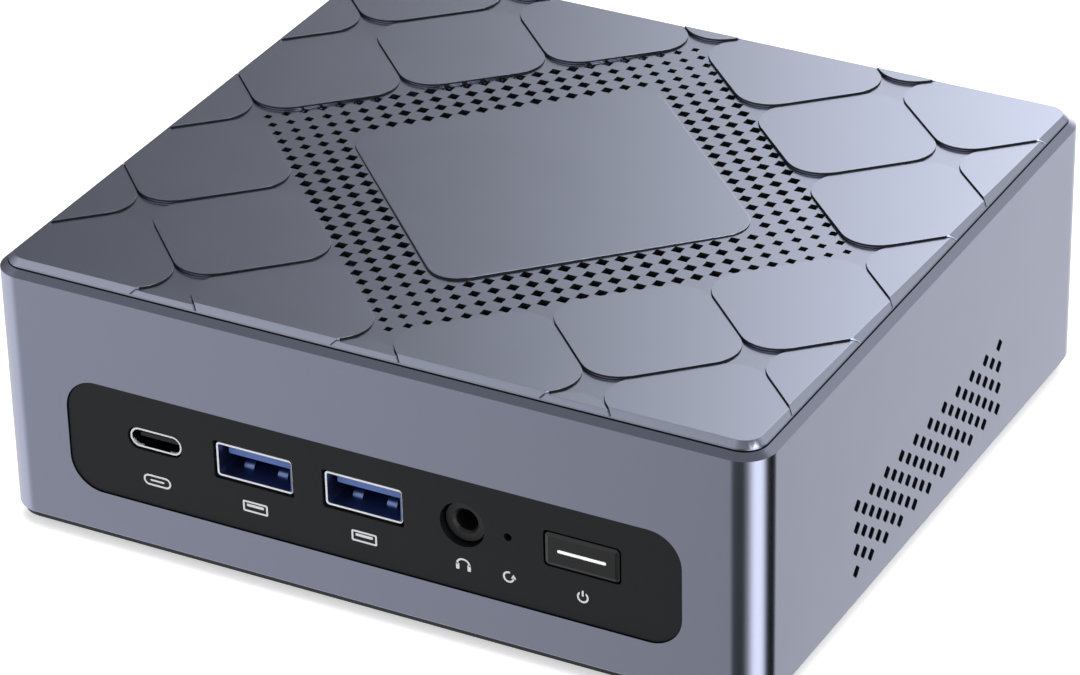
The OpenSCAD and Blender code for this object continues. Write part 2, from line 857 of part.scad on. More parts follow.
module display_sockets() {
    color("#c9ccd2") for (x = display_x) translate([x, 0, board_top + display[2] / 2 + 0.4]) {
        difference() {
            face_plate(display[0], display[2], 0.6, socket_front - display[1], socket_front);
            face_plate(display[0] - 0.8, display[2] - 0.8, 0.4,
                       socket_front - display[1] + 2, socket_front + 1);
        }
        face_plate(11.6, 1.2, 0.2, socket_front - display[1] + 1, socket_front - 1.4);
        translate([0, socket_front - display[1] / 2, -display[2] / 2 - 0.4])
            stand([8, display[1] - 3, 0.5]);
    }
}

module network_socket(i) {
    mouth_z = 2.2;
    mouth_y = (network[1] - network_mouth[1]) / 2 + 0.5;
    color("#b9bcc2") translate([network_x[i], socket_front - network[1] / 2, board_top])
        difference() {
            stand(network);
            translate([0, mouth_y, mouth_z])
                stand([network_mouth[0], network_mouth[1] + 1, network_mouth[2]]);
            translate([0, mouth_y, mouth_z + 1])
                stand([6.2, network_mouth[1] + 1, network_mouth[2] + 0.7]);
        }
}

module rear_type_a_sockets() {
    color("#c9ccd2") translate([rear_usb_x, 0, board_top]) {
        difference() {
            translate([0, socket_front - rear_usb[1] / 2, 0]) stand(rear_usb);
            for (z = rear_usb_z) translate([0, 0, z - 1])
                face_plate(12.6, 5.2, 0.4, socket_front - 12, socket_front + 1);
        }
        for (z = rear_usb_z) translate([0, 0, z])
            face_plate(11.1, 1.9, 0.3, socket_front - 12.5, socket_front - 0.8);
    }
}

main_shell();
top_cover();
bottom_cover();
translate([foot_x, foot_y, 0]) foot();  // foot_1
translate([-foot_x, foot_y, 0]) foot();  // foot_2
translate([-foot_x, -foot_y, 0]) foot();  // foot_3
translate([foot_x, -foot_y, 0]) foot();  // foot_4
case_screws();
front_panel();
rear_panel();
power_button();
power_light_bar();
power_switch();
power_switch_plunger();
reset_switch();
reset_plunger();
type_c_shell();
type_c_tongue();
type_a_shell(0);  // type_a_shell_1
type_a_shell(1);  // type_a_shell_2
type_a_tongue(0);  // type_a_tongue_1
type_a_tongue(1);  // type_a_tongue_2
audio_jack();
mainboard();
board_screws();
board_chips();
power_coils();
capacitors();
cpu_package();
heatsink_base();
heatsink_screws();
heat_pipes();
fin_stack();
blower_housing();
blower_cover();
blower_wheel();
blower_shaft();
blower_bearing();
blower_cable();
memory_socket(0);  // memory_socket_1
memory_socket(1);  // memory_socket_2
memory_module(0);  // memory_module_1
memory_module(1);  // memory_module_2
memory_latch(0, -1);  // memory_latch_1
memory_latch(0, 1);  // memory_latch_2
memory_latch(1, -1);  // memory_latch_3
memory_latch(1, 1);  // memory_latch_4
card_sockets();
solid_state_drive();
wireless_card();
card_screws();
antennas();
antenna_cables();
coin_cell();
coin_cell_holder();
power_inlet();
display_sockets();
network_socket(0);  // network_socket_1
network_socket(1);  // network_socket_2
rear_type_a_sockets();
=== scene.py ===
# %% [markdown]
# # A small desktop computer
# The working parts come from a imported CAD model, which stays as it is: its sizes, joints and places
# are the frame. Here each visible part gets the soft edges, patterns and finish that the real
# one has. A part whose CAD shape is too plain is built again and stands in for its CAD node.

# %% Load the frame
import json
import math

import bpy
from mathutils import Matrix, Vector


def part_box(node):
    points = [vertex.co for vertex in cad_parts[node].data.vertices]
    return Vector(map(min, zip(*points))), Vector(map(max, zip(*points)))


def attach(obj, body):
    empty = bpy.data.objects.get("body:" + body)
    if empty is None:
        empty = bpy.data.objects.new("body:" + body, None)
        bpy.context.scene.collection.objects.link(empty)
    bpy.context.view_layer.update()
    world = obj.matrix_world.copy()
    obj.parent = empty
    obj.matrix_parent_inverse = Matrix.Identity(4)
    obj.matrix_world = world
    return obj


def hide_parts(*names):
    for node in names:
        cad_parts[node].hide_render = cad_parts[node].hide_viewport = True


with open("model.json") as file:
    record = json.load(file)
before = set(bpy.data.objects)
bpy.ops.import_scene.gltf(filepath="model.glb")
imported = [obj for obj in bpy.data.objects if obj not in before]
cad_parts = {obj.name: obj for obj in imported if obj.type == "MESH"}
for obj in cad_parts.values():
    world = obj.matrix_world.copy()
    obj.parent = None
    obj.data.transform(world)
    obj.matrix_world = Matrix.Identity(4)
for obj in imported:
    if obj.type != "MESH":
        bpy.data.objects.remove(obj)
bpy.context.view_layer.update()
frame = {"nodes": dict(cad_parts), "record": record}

MM = 0.001

# %% [markdown]
# ## The driving sizes
# Places are read from the frame's own parts, so that everything built here fits the CAD model.
# Only small things that the CAD leaves out, such as edge radii, get numbers of their own.

# %% Sizes from the frame
shell_low, shell_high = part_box("main_shell")
lid_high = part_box("top_cover")[1]
CASE_W = shell_high.x - shell_low.x
CASE_D = shell_high.y - shell_low.y
WALL_Z = shell_low.z
SHELL_TOP = shell_high.z
CASE_TOP = lid_high.z
CORNER_R = 5 * MM
WALL_T = 1.6 * MM
TOUCH = 0.01 * MM
HALF_W, HALF_D = CASE_W / 2, CASE_D / 2
print("case", round(CASE_W / MM, 1), "x", round(CASE_D / MM, 1), "x", round(CASE_TOP / MM, 1), "mm")

# %% [markdown]
# ## Camera
# The camera is set first. A long lens, about six case widths away, keeps the box's edges nearly
# parallel.

# %% Camera
AZIMUTH, ELEVATION, ROLL = math.radians(28.44), math.radians(31.44), math.radians(-1.21)
CAMERA_PLACE = (311.3 * MM, -574.4 * MM, 394.6 * MM)
SENSOR_MM, LENS_MM = 36, 161.7
SHIFT_X, SHIFT_Y = -0.0155, 0.1163
camera_data = bpy.data.cameras.new("camera")
camera_data.sensor_width, camera_data.lens = SENSOR_MM, LENS_MM
camera_data.shift_x, camera_data.shift_y = SHIFT_X, SHIFT_Y
camera_data.clip_start = 10 * MM
camera = bpy.data.objects.new("camera", camera_data)
bpy.context.scene.collection.objects.link(camera)
camera.location = CAMERA_PLACE
turn = Matrix.Rotation(AZIMUTH, 4, "Z") @ Matrix.Rotation(math.pi / 2 - ELEVATION, 4, "X")
camera.rotation_euler = (turn @ Matrix.Rotation(ROLL, 4, "Z")).to_euler()
bpy.context.scene.camera = camera
print("camera at", [round(v, 3) for v in camera.location])

# %% [markdown]
# ## Small helpers
# Every piece starts from a primitive that is added at its size and place. Edges and faces are
# then selected by where they lie, and shaped with the same operators as by hand.

# %% Helpers for meshes
SAME_WAY = 0.99


def deselect():
    bpy.ops.object.select_all(action="DESELECT")


def active(piece):
    """Make this piece the only one selected."""
    deselect()
    piece.select_set(True)
    bpy.context.view_layer.objects.active = piece
    return piece


def named(name):
    """Name the newest object and fix its place in its mesh."""
    piece = bpy.context.object
    piece.name = piece.data.name = name
    active(piece)
    bpy.ops.object.transform_apply(location=True, rotation=True, scale=True)
    return piece


def block(name, low, high):
    """A box between two corners, in metres."""
    deselect()
    middle = [(a + b) / 2 for a, b in zip(low, high)]
    bpy.ops.mesh.primitive_cube_add(size=1, location=middle)
    bpy.context.object.scale = [b - a for a, b in zip(low, high)]
    return named(name)


def rod(name, radius, start, end, sides=48):
    """A cylinder from one point to another."""
    deselect()
    start, end = Vector(start), Vector(end)
    way = end - start
    bpy.ops.mesh.primitive_cylinder_add(vertices=sides, radius=radius, depth=way.length,
                                        location=(start + end) / 2)
    bpy.context.object.rotation_euler = way.to_track_quat("Z", "Y").to_euler()
    return named(name)


def shape_part(piece, kind, test, operator, **settings):
    """Select the faces, edges or points that pass a test, then run an edit-mode operator."""
    active(piece)
    bpy.ops.object.mode_set(mode="EDIT")
    bpy.ops.mesh.select_mode(type=kind)
    bpy.ops.mesh.select_all(action="DESELECT")
    bpy.ops.object.mode_set(mode="OBJECT")
    mesh = piece.data
    for item in {"VERT": mesh.vertices, "EDGE": mesh.edges, "FACE": mesh.polygons}[kind]:
        item.select = test(mesh, item)
    bpy.ops.object.mode_set(mode="EDIT")
    operator(**settings)
    bpy.ops.object.mode_set(mode="OBJECT")
    return piece


def along(axis):
    """A test for edges that run along one axis."""
    def test(mesh, edge):
        way = mesh.vertices[edge.vertices[1]].co - mesh.vertices[edge.vertices[0]].co
        return abs(way[axis]) > SAME_WAY * way.length
    return test


def facing(axis, sign):
    """A test for faces that look along one axis."""
    return lambda mesh, face: sign * face.normal[axis] > SAME_WAY


def bevel_edges(piece, test, width, segments=3):
    return shape_part(piece, "EDGE", test, bpy.ops.mesh.bevel, offset=width, segments=segments)


def slice_faces(piece, place, normal, **settings):
    """Cut a piece's faces along a plane. Both halves stay, unless the settings clear one."""
    return shape_part(piece, "FACE", lambda mesh, face: True, bpy.ops.mesh.bisect,
                      plane_co=place, plane_no=normal, threshold=1e-4 * MM, **settings)


def flare_end(cutter, axis, sign, lip):
    """Widen the end of a cutter by lip, and pull it one millimetre further out."""
    shape_part(cutter, "FACE", facing(axis, sign), bpy.ops.mesh.inset, thickness=-lip, depth=lip)
    pull = Vector()
    pull[axis] = sign * MM
    return shape_part(cutter, "FACE", facing(axis, sign), bpy.ops.mesh.extrude_region_move,
                      TRANSFORM_OT_translate={"value": pull})


def modify(piece, kind, **settings):
    """Add one modifier and apply it."""
    active(piece)
    modifier = piece.modifiers.new(kind.lower(), kind)
    for setting, value in settings.items():
        setattr(modifier, setting, value)
    bpy.ops.object.modifier_apply(modifier=modifier.name)
    return piece


def boolean(piece, tool, operation="DIFFERENCE"):
    modify(piece, "BOOLEAN", object=tool, operation=operation, solver="EXACT")
    bpy.data.objects.remove(tool)
    return piece


def joined(name, pieces):
    """Make one object of several."""
    deselect()
    for piece in pieces:
        piece.select_set(True)
    bpy.context.view_layer.objects.active = pieces[0]
    if len(pieces) > 1:
        bpy.ops.object.join()
    return named(name)


def shade(piece, angle=35):
    """Shade smooth, but keep large flat faces flat and edges over the angle sharp."""
    active(piece)
    bpy.ops.object.shade_smooth_by_angle(angle=math.radians(angle))
    return modify(piece, "WEIGHTED_NORMAL", mode="FACE_AREA", weight=100, keep_sharp=True)


def soften(piece, width, segments=2, angle=35):
    """Round the sharp edges a little, then shade the rest smooth."""
    modify(piece, "BEVEL", width=width, segments=segments, limit_method="ANGLE",
           angle_limit=math.radians(angle), miter_outer="MITER_ARC")
    return shade(piece, angle)


def round_block(name, low, high, radius, axis=2, segments=10):
    """A box whose four edges along one axis are round."""
    piece = block(name, low, high)
    return bevel_edges(piece, along(axis), radius, segments)


PIECES = {}
SECOND_FINISH = {}


def finished(piece, body, slot=None, replaces=(), own=None):
    """Attach a finished piece to its body, remember its slot and hide the CAD parts it stands for.

    own names a finish that the record has no slot for.
    """
    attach(piece, body)
    if replaces:
        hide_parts(*replaces)
    PIECES[piece.name] = own or slot
    return piece


def second_finish(piece, finish_name, test):
    """Remember which faces of a piece get another finish than the rest of it."""
    faces = [face.index for face in piece.data.polygons if test(face)]
    SECOND_FINISH[piece.name] = finish_name, faces
    print(len(faces), "faces of", piece.name, "get", finish_name)

# %% [markdown]
# ## Carrying CAD parts over with soft edges
# Many parts have the right shape already and only look too sharp. A copy of the CAD mesh is
# merged, its flat faces are cleaned up, and its sharp edges get a small bevel.

# %% Soft copies
BODY_OF = {node: body for body, nodes in frame["record"]["behaviour"]["bodies"].items()
           for node in nodes}
SLOT_OF = {part["node"]: part["material_slot"] for part in frame["record"]["subparts"]}


def soft_copy(node, width, segments=2):
    """A copy of a CAD part with its sharp edges rounded by width millimetres."""
    deselect()
    source = frame["nodes"][node]
    piece = bpy.data.objects.new(node + "_soft", source.data.copy())
    bpy.context.scene.collection.objects.link(piece)
    piece.data.materials.clear()
    active(piece)
    bpy.ops.object.mode_set(mode="EDIT")
    bpy.ops.mesh.select_all(action="SELECT")
    bpy.ops.mesh.remove_doubles(threshold=0.001 * MM)
    bpy.ops.mesh.dissolve_limited(angle_limit=math.radians(0.5))
    bpy.ops.object.mode_set(mode="OBJECT")
    if piece.data.has_custom_normals:
        bpy.ops.mesh.customdata_custom_splitnormals_clear()
    soften(piece, width * MM, segments)
    return finished(piece, BODY_OF[node], SLOT_OF[node], [node])

# %% [markdown]
# ## The shell
# The real shell is one band of aluminium: four walls with round corners, a chamfer along the top,
# an opening at the front and back, and a field of diamond holes in each side. A block is beveled
# and inset for the outside, and the inside, openings and holes are cut from it.

# %% Shell walls
CHAMFER_IN, CHAMFER_H, FOOT_BEVEL = 1.25 * MM, 0.8 * MM, 0.25 * MM
chamfer_z = SHELL_TOP - CHAMFER_H
shell = round_block("main_shell_walls", (-HALF_W, -HALF_D, WALL_Z), (HALF_W, HALF_D, chamfer_z),
                    CORNER_R, segments=14)
shape_part(shell, "FACE", facing(2, 1), bpy.ops.mesh.inset, thickness=CHAMFER_IN, depth=CHAMFER_H)
bevel_edges(shell, lambda mesh, edge: all(mesh.vertices[v].co.z < WALL_Z + TOUCH
                                          for v in edge.vertices), FOOT_BEVEL, 2)
inside = round_block("inside", (-HALF_W + WALL_T, -HALF_D + WALL_T, 0),
                     (HALF_W - WALL_T, HALF_D - WALL_T, CASE_TOP + 1 * MM),
                     CORNER_R - WALL_T, segments=10)
boolean(shell, inside)
print("shell walls:", len(shell.data.polygons), "faces")

# %% [markdown]
# The openings are cut with a lip: the cutter is a little wider just at the surface, which leaves
# the thin bright edge that a milled opening has.

# %% Openings for the two panels
FLANGE_LAP, OPENING_LIP, CUT_DEEP = 1.5 * MM, 0.2 * MM, 4 * MM
FRONT_OPENING_R, REAR_OPENING_R = 5.4 * MM, 3 * MM


def panel_cutter(node, sign, radius):
    """A round-cornered cutter for a panel's opening in the front (-1) or back (1) wall."""
    low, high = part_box(node)
    y = sorted([sign * (HALF_D - CUT_DEEP), sign * (HALF_D - OPENING_LIP)])
    cutter = round_block(node + "_cut", (low.x + FLANGE_LAP, y[0], low.z + FLANGE_LAP),
                         (high.x - FLANGE_LAP, y[1], high.z - FLANGE_LAP), radius, axis=1,
                         segments=12)
    print(node, "opening is", round((high.x - low.x - 2 * FLANGE_LAP) / MM, 1), "mm wide")
    return flare_end(cutter, 1, sign, OPENING_LIP)


boolean(shell, panel_cutter("front_panel", -1, FRONT_OPENING_R))
boolean(shell, panel_cutter("rear_panel", 1, REAR_OPENING_R))

# %% [markdown]
# One diamond cutter is made by hand: a square turned on its point, its corners rounded, and its
# end flared by a tenth of a millimetre, as a deburred hole is. The rows are arrays of it.

# %% Side vents
VENT_W, VENT_H, VENT_STEP_Y, VENT_STEP_Z = 2.5 * MM, 2.4 * MM, 5.2 * MM, 3.8 * MM
VENT_MID_Z = WALL_Z + 11.1 * MM
VENT_LIP, VENT_R, VENT_DEEP = 0.12 * MM, 0.28 * MM, 4 * MM


def vent_cutter(name, columns, rows):
    """An array of diamond cutters through the right wall, centred on the vent field."""
    y = -(columns - 1) * VENT_STEP_Y / 2
    z = VENT_MID_Z - (rows - 1) * VENT_STEP_Z / 2
    deselect()
    bpy.ops.mesh.primitive_cylinder_add(vertices=4, radius=VENT_W / 2, depth=VENT_DEEP,
                                        location=(HALF_W - VENT_DEEP / 2 - VENT_LIP, y, z),
                                        rotation=(0, math.pi / 2, 0))
    cutter = named(name)
    cutter.data.transform(Matrix.Translation((0, y, z))
                          @ Matrix.Diagonal((1, 1, VENT_H / VENT_W, 1))
                          @ Matrix.Translation((0, -y, -z)))
    bevel_edges(cutter, along(0), VENT_R, 2)
    flare_end(cutter, 0, 1, VENT_LIP)
    for count, step in ((columns, (0, VENT_STEP_Y, 0)), (rows, (0, 0, VENT_STEP_Z))):
        modify(cutter, "ARRAY", count=count, use_relative_offset=False,
               use_constant_offset=True, constant_offset_displace=step)
    return cutter


def mirrored_pair(piece):
    """Join a piece with its mirror image across the middle of the case."""
    return modify(piece, "MIRROR", use_axis=(True, False, False), use_mirror_merge=False)


vents = joined("vents", [vent_cutter("full_columns", 11, 4), vent_cutter("half_columns", 10, 3)])
boolean(shell, mirrored_pair(vents))
print("shell with vents:", len(shell.data.polygons), "faces")

# %% [markdown]
# Inside, the shell carries four screw posts and four ledges that the mainboard hangs from. They
# are rods and blocks, each with a bore where its screw goes in.

# %% Posts and ledges
POST_X, POST_Y, POST_R = HALF_W - 8 * MM, HALF_D - 8.4 * MM, 3.5 * MM
POST_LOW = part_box("bottom_cover")[1].z + 1 * MM
POST_HIGH = SHELL_TOP - 5 * MM
SCREW_BORE_R, POST_BORE_DEEP, RIB_HALF = 1.25 * MM, 10 * MM, 1 * MM
LEDGE_X, LEDGE_Y, LEDGE_HALF, LEDGE_IN, LEDGE_H = 54 * MM, 34 * MM, 4 * MM, 3.9 * MM, 3 * MM
LAP = 0.9
board_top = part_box("mainboard")[1].z


def bored(piece, x, y, low, high):
    """Cut a screw's bore, upright at x, y."""
    return boolean(piece, rod("bore", SCREW_BORE_R, (x, y, low), (x, y, high), sides=20))


inner_parts = []
for sx in (-1, 1):
    wall_x = sx * (HALF_W - WALL_T * LAP)
    for sy in (-1, 1):
        x, y = sx * POST_X, sy * POST_Y
        post = rod("post", POST_R, (x, y, POST_LOW), (x, y, POST_HIGH), sides=24)
        bored(post, x, y, POST_LOW - MM, POST_LOW + POST_BORE_DEEP)
        rib_x = sorted([x + sx * POST_R * LAP, wall_x])
        rib_y = sorted([y + sy * POST_R * LAP, sy * (HALF_D - WALL_T * LAP)])
        ribs = [
            block("rib", (rib_x[0], y - RIB_HALF, POST_LOW), (rib_x[1], y + RIB_HALF, POST_HIGH)),
            block("rib", (x - RIB_HALF, rib_y[0], POST_LOW), (x + RIB_HALF, rib_y[1], POST_HIGH)),
        ]
        y = sy * LEDGE_Y
        ledge_x = sorted([sx * (LEDGE_X - LEDGE_IN), wall_x])
        ledge = block("ledge", (ledge_x[0], y - LEDGE_HALF, board_top),
                      (ledge_x[1], y + LEDGE_HALF, board_top + LEDGE_H))
        bored(ledge, sx * LEDGE_X, y, board_top - MM, board_top + LEDGE_H + 2 * MM)
        inner_parts += [post, *ribs, ledge]
shell = shade(joined("shell", [shell] + inner_parts), 25)
finished(shell, "case", "shell_metal", ["main_shell"])
# The shell's top face lies in the seam under the lid. Its near-black second finish is painted shade.
second_finish(shell, "painted_shade_dark",
              lambda face: face.normal.z > SAME_WAY and face.center.z > SHELL_TOP - TOUCH)
print("shell:", len(shell.data.polygons), "faces")

# %% [markdown]
# ## The tiled lid
# The lid's pattern is a field of square tiles turned on their points. Each tile is tilted a little:
# its front corner stands a few tenths of a millimetre proud and its back corner is level with the
# floor, so every tile ends in a small step along its two front edges. A diamond-shaped band of
# square holes lies over the blower, with a plain plate inside it.
#
# The tiles are slabs cut to the lid's outline. The base below them has a pocket for each slab,
# moved a little forward, and the part of the pocket that stays open is a thin groove.

# %% Lid sizes
LID_IN, SEAM_IN, SEAM_H, LAND_H = 2.54 * MM, 1.35 * MM, 0.25 * MM, 0.15 * MM
LID_LOW = SHELL_TOP + SEAM_H
TILE_HALF = 17.05 * MM
TILE_R = 5.8 * MM
STEP = 0.3 * MM
TILE_MID = CASE_TOP - 0.04 * MM - STEP
FLOOR = TILE_MID - STEP
GROOVE, GROOVE_DEEP = 0.16 * MM, 0.5 * MM
SLOPE = STEP / TILE_HALF
RISER = STEP + 0.05 * MM


def lid_outline(name, low, high):
    """The lid's envelope between two heights: round corners and a long bevel to its flat top."""
    half_w, half_d = HALF_W - SEAM_IN, HALF_D - SEAM_IN
    piece = round_block(name, (-half_w, -half_d, LID_LOW), (half_w, half_d, LID_LOW + LAND_H),
                        CORNER_R - SEAM_IN, segments=12)
    shape_part(piece, "FACE", facing(2, 1), bpy.ops.mesh.inset, thickness=LID_IN - SEAM_IN,
               depth=CASE_TOP - LID_LOW - LAND_H)
    for height, above in ((low, False), (high, True)):
        if LID_LOW < height < CASE_TOP:
            slice_faces(piece, (0, 0, height), (0, 0, 1), use_fill=True,
                        clear_outer=above, clear_inner=not above)
    return piece


def diamond(name, x, y, half, radius, low, high):
    """A square slab turned on its point, with round corners. half is its half diagonal."""
    side = half / math.sqrt(2)
    piece = round_block(name, (-side, -side, low), (side, side, high), radius, segments=8)
    piece.data.transform(Matrix.Translation((x, y, 0)) @ Matrix.Rotation(math.pi / 4, 4, "Z"))
    return piece


def tilt_top(piece, y, height, slope):
    """Set the top face on a plane that falls towards the back, and has this height at y."""
    top = max(v.co.z for v in piece.data.vertices)
    for v in piece.data.vertices:
        if v.co.z > top - 0.001 * MM:
            v.co.z = height - slope * (v.co.y - y)
    return piece

# %% [markdown]
# The tiles lie on a grid of half diagonals. Those nearest the middle are left out, for the band of
# holes. The slabs don't touch each other, so one boolean can cut them all to the lid's outline.
# Each slab's sides are sliced a step's height below its top, and so are all slabs where the lid's
# bevel starts, because the faces above and within these lines get painted shade later.

# %% Tiles and their pockets
GRID_REACH, BAND_REACH = 4, 4
SLIVER = 0.75
TOP_W, TOP_D = HALF_W - LID_IN, HALF_D - LID_IN
groove_way = GROOVE / math.sqrt(2)
slab_half = TILE_HALF - groove_way
pocket_floor = FLOOR - GROOVE_DEEP
outline_low, slab_low = pocket_floor - 0.05 * MM, pocket_floor - 0.1 * MM
slabs, pockets, tile_places = [], [], []
for i in range(-GRID_REACH, GRID_REACH + 1):
    for j in range(-GRID_REACH, GRID_REACH + 1):
        x, y = i * TILE_HALF, j * TILE_HALF
        past_lid = max(abs(x) - HALF_W, 0) + max(abs(y) - HALF_D, 0)
        if (i + j) % 2 or abs(i) + abs(j) < BAND_REACH or past_lid >= TILE_HALF * SLIVER:
            continue
        slab = diamond("slab", x, y - groove_way, slab_half, TILE_R, slab_low, CASE_TOP)
        tilt_top(slab, y, TILE_MID, SLOPE)
        slabs.append(slice_faces(slab, (x, y, TILE_MID - RISER), (0, SLOPE, 1)))
        tile_places.append((x, y))
        pockets.append(diamond("pocket", x, y - 3 * groove_way, slab_half, TILE_R,
                               pocket_floor, CASE_TOP + MM))
tiles = joined("tiles", slabs)
boolean(tiles, lid_outline("outline", outline_low, CASE_TOP + MM), "INTERSECT")
for sign in (-1, 1):
    slice_faces(tiles, (sign * TOP_W, 0, 0), (1, 0, 0))
    slice_faces(tiles, (0, sign * TOP_D, 0), (0, 1, 0))
print(len(slabs), "tiles,", len(tiles.data.polygons), "faces")

# %% [markdown]
# The holes of the band follow the same turned grid as the tiles. They get a little smaller towards
# the four points of the band.

# %% Band of square holes
HOLE_STEP, HOLE_SIDE = 2.08 * MM, 1.6 * MM
BAND_FROM, BAND_TO = 9, 12
TIP_SHRINK, TIP_REACH = 0.5 * MM, 22 * MM
tip = 2 * BAND_TO * HOLE_STEP
holes = []
for i in range(-BAND_TO, BAND_TO + 1):
    for j in range(-BAND_TO, BAND_TO + 1):
        if max(abs(i), abs(j)) < BAND_FROM:
            continue
        x, y = HOLE_STEP * (i - j), HOLE_STEP * (i + j)
        from_tip = min(math.hypot(abs(x) - tip, y), math.hypot(x, abs(y) - tip))
        half = (HOLE_SIDE - TIP_SHRINK * (1 - min(1, from_tip / TIP_REACH))) / 2
        holes.append((x, y, half))


def hole_cutter(holes, low, high):
    """Square cutters for the band: one block, copied and scaled to every hole, as one mesh."""
    cube = block("hole", (-0.5, -0.5, low), (0.5, 0.5, high))
    copies = []
    for x, y, half in holes:
        copy = bpy.data.objects.new("hole", cube.data.copy())
        bpy.context.scene.collection.objects.link(copy)
        copy.data.transform(Matrix.Translation((x, y, 0))
                            @ Matrix.Diagonal((2 * half, 2 * half, 1, 1)))
        copies.append(copy)
    bpy.data.objects.remove(cube)
    return joined("holes", copies)


lid_base = lid_outline("lid_base", LID_LOW, FLOOR)
boolean(lid_base, joined("pockets", pockets))
boolean(lid_base, hole_cutter(holes, LID_LOW - MM, CASE_TOP + MM))
print(len(holes), "holes,", len(lid_base.data.polygons), "faces")

# %% [markdown]
# The plate inside the band is tilted too, and the skirt under the lid is what centres it in the
# shell. All the parts are then one piece, which takes the place of the CAD lid.

# %% Plate, skirt and the whole lid
PLATE_HALF, PLATE_R, PLATE_FRONT, PLATE_BACK = 35.5 * MM, 5 * MM, 0.42 * MM, 0.04 * MM
PLATE_DEEP = 0.4 * MM
SKIRT_T, SKIRT_H, SKIRT_LAP = 1.8 * MM, 3.4 * MM, 0.05 * MM
TILE_EDGE, PLATE_EDGE = 0.05 * MM, 0.07 * MM
plate_slope = (PLATE_FRONT - PLATE_BACK) / (2 * PLATE_HALF)
plate = diamond("plate", 0, 0, PLATE_HALF, PLATE_R, FLOOR - PLATE_DEEP, CASE_TOP)
tilt_top(plate, -PLATE_HALF, FLOOR + PLATE_FRONT, plate_slope)
skirt_w, skirt_d = HALF_W - WALL_T, HALF_D - WALL_T
skirt = round_block("skirt", (-skirt_w, -skirt_d, LID_LOW - SKIRT_H),
                    (skirt_w, skirt_d, LID_LOW + SKIRT_LAP), CORNER_R - WALL_T, segments=10)
room_w, room_d = skirt_w - SKIRT_T, skirt_d - SKIRT_T
boolean(skirt, round_block("skirt_inside", (-room_w, -room_d, LID_LOW - 2 * SKIRT_H),
                           (room_w, room_d, LID_LOW + MM), CORNER_R - WALL_T - SKIRT_T / 2,
                           segments=6))
for part, width in ((tiles, TILE_EDGE), (plate, PLATE_EDGE)):
    modify(part, "BEVEL", width=width, segments=2, limit_method="ANGLE",
           angle_limit=math.radians(40))
lid = shade(joined("tiled_lid", [lid_base, tiles, plate, skirt]), 30)
finished(lid, "case", "lid_finish", ["top_cover"])
print("lid:", len(lid.data.polygons), "faces")

# %% [markdown]
# The steps, the holes and the seam under the lid are recesses in shade. Their faces are found by
# height and normal, and get a second, near-black finish that is painted shade: a slab's side only
# as far down as it was sliced, and nothing on the lid's bevel.

# %% Painted shade on steps and seam
LAND_TOP = LID_LOW + 0.2 * MM
UPRIGHT = 0.3


def step_bottom(x, y):
    """How far down the painted shade on a slab's side reaches, for a point on a slab's edge."""
    near = [tile_y for tile_x, tile_y in tile_places
            if abs(x - tile_x) + abs(y - tile_y) < TILE_HALF + MM / 2]
    return TILE_MID - SLOPE * (y - max(near)) - RISER if near else 0


def in_recess(face):
    x, y, z = face.center
    if z < LID_LOW + TOUCH:
        return True
    on_top = abs(x) < TOP_W and abs(y) < TOP_D
    return on_top and abs(face.normal.z) < UPRIGHT and z > max(LAND_TOP, step_bottom(x, y))


# The near-black second finish on these faces is painted shade.
second_finish(lid, "painted_shade_dark", in_recess)

# %% [markdown]
# ## Panels, base and sockets
# These have the right shape in the CAD model, so they are carried over with rounded edges. The
# widths below are in millimetres: a moulded panel has a soft edge, a folded sleeve a fine one.

# %% Carried over parts
EDGE_WIDTHS = {
    "front_panel": 0.12, "rear_panel": 0.15, "bottom_cover": 0.2, "case_screws": 0.15,
    "foot_1": 0.3, "foot_2": 0.3, "foot_3": 0.3, "foot_4": 0.3,
    "type_c_shell": 0.05, "type_c_tongue": 0.06, "type_a_shell_1": 0.05, "type_a_shell_2": 0.05,
    "type_a_tongue_1": 0.12, "type_a_tongue_2": 0.12, "audio_jack": 0.12,
    "power_inlet": 0.2, "display_sockets": 0.08, "network_socket_1": 0.12, "network_socket_2": 0.12,
    "rear_type_a_sockets": 0.1,
}
for node_name, edge in EDGE_WIDTHS.items():
    piece = soft_copy(node_name, edge)
    print(piece.name, len(piece.data.polygons), "faces")

# %% [markdown]
# ## Front sockets
# A socket's sleeve is folded from thin sheet, with a flared metal mouth. Its pale rounded rim is a
# painted highlight: a near-white, half-metallic lip for the bright edge of the mouth. The rim is a
# block with its mouth cut out and all its edges rounded. Two spring fingers bulge from the floor of
# each large socket and press on the plug. They and the sleeve get a dark bluish steel finish, and
# the tongue's faces deeper in, with the wall that holds it, black plastic: painted shade inside.

# %% Rims and spring fingers
bar_low, bar_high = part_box("power_light_bar")
panel_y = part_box("front_panel")[0].y
cap_x, ROW_Z = (bar_low.x + bar_high.x) / 2, (bar_low.z + bar_high.z) / 2
RIM_W, THIN_RIM_W, RIM_DEEP, RIM_PROUD = 0.32 * MM, 0.06 * MM, 0.5 * MM, 0.03 * MM
TYPE_C_RIM_R, TYPE_A_RIM_R, RIM_ROUND = 1.55 * MM, 0.6 * MM, 0.07 * MM
TONGUE_UNSHADED_L, SLEEVE_T = 8 * MM, 0.3 * MM
FINGER_R, FINGER_W, FINGER_X, FINGER_DEEP = 1.05 * MM, 1.7 * MM, 2.9 * MM, 4.1 * MM
FINGER_ROUND, FINGER_SUNK = 0.1 * MM, 0.1 * MM


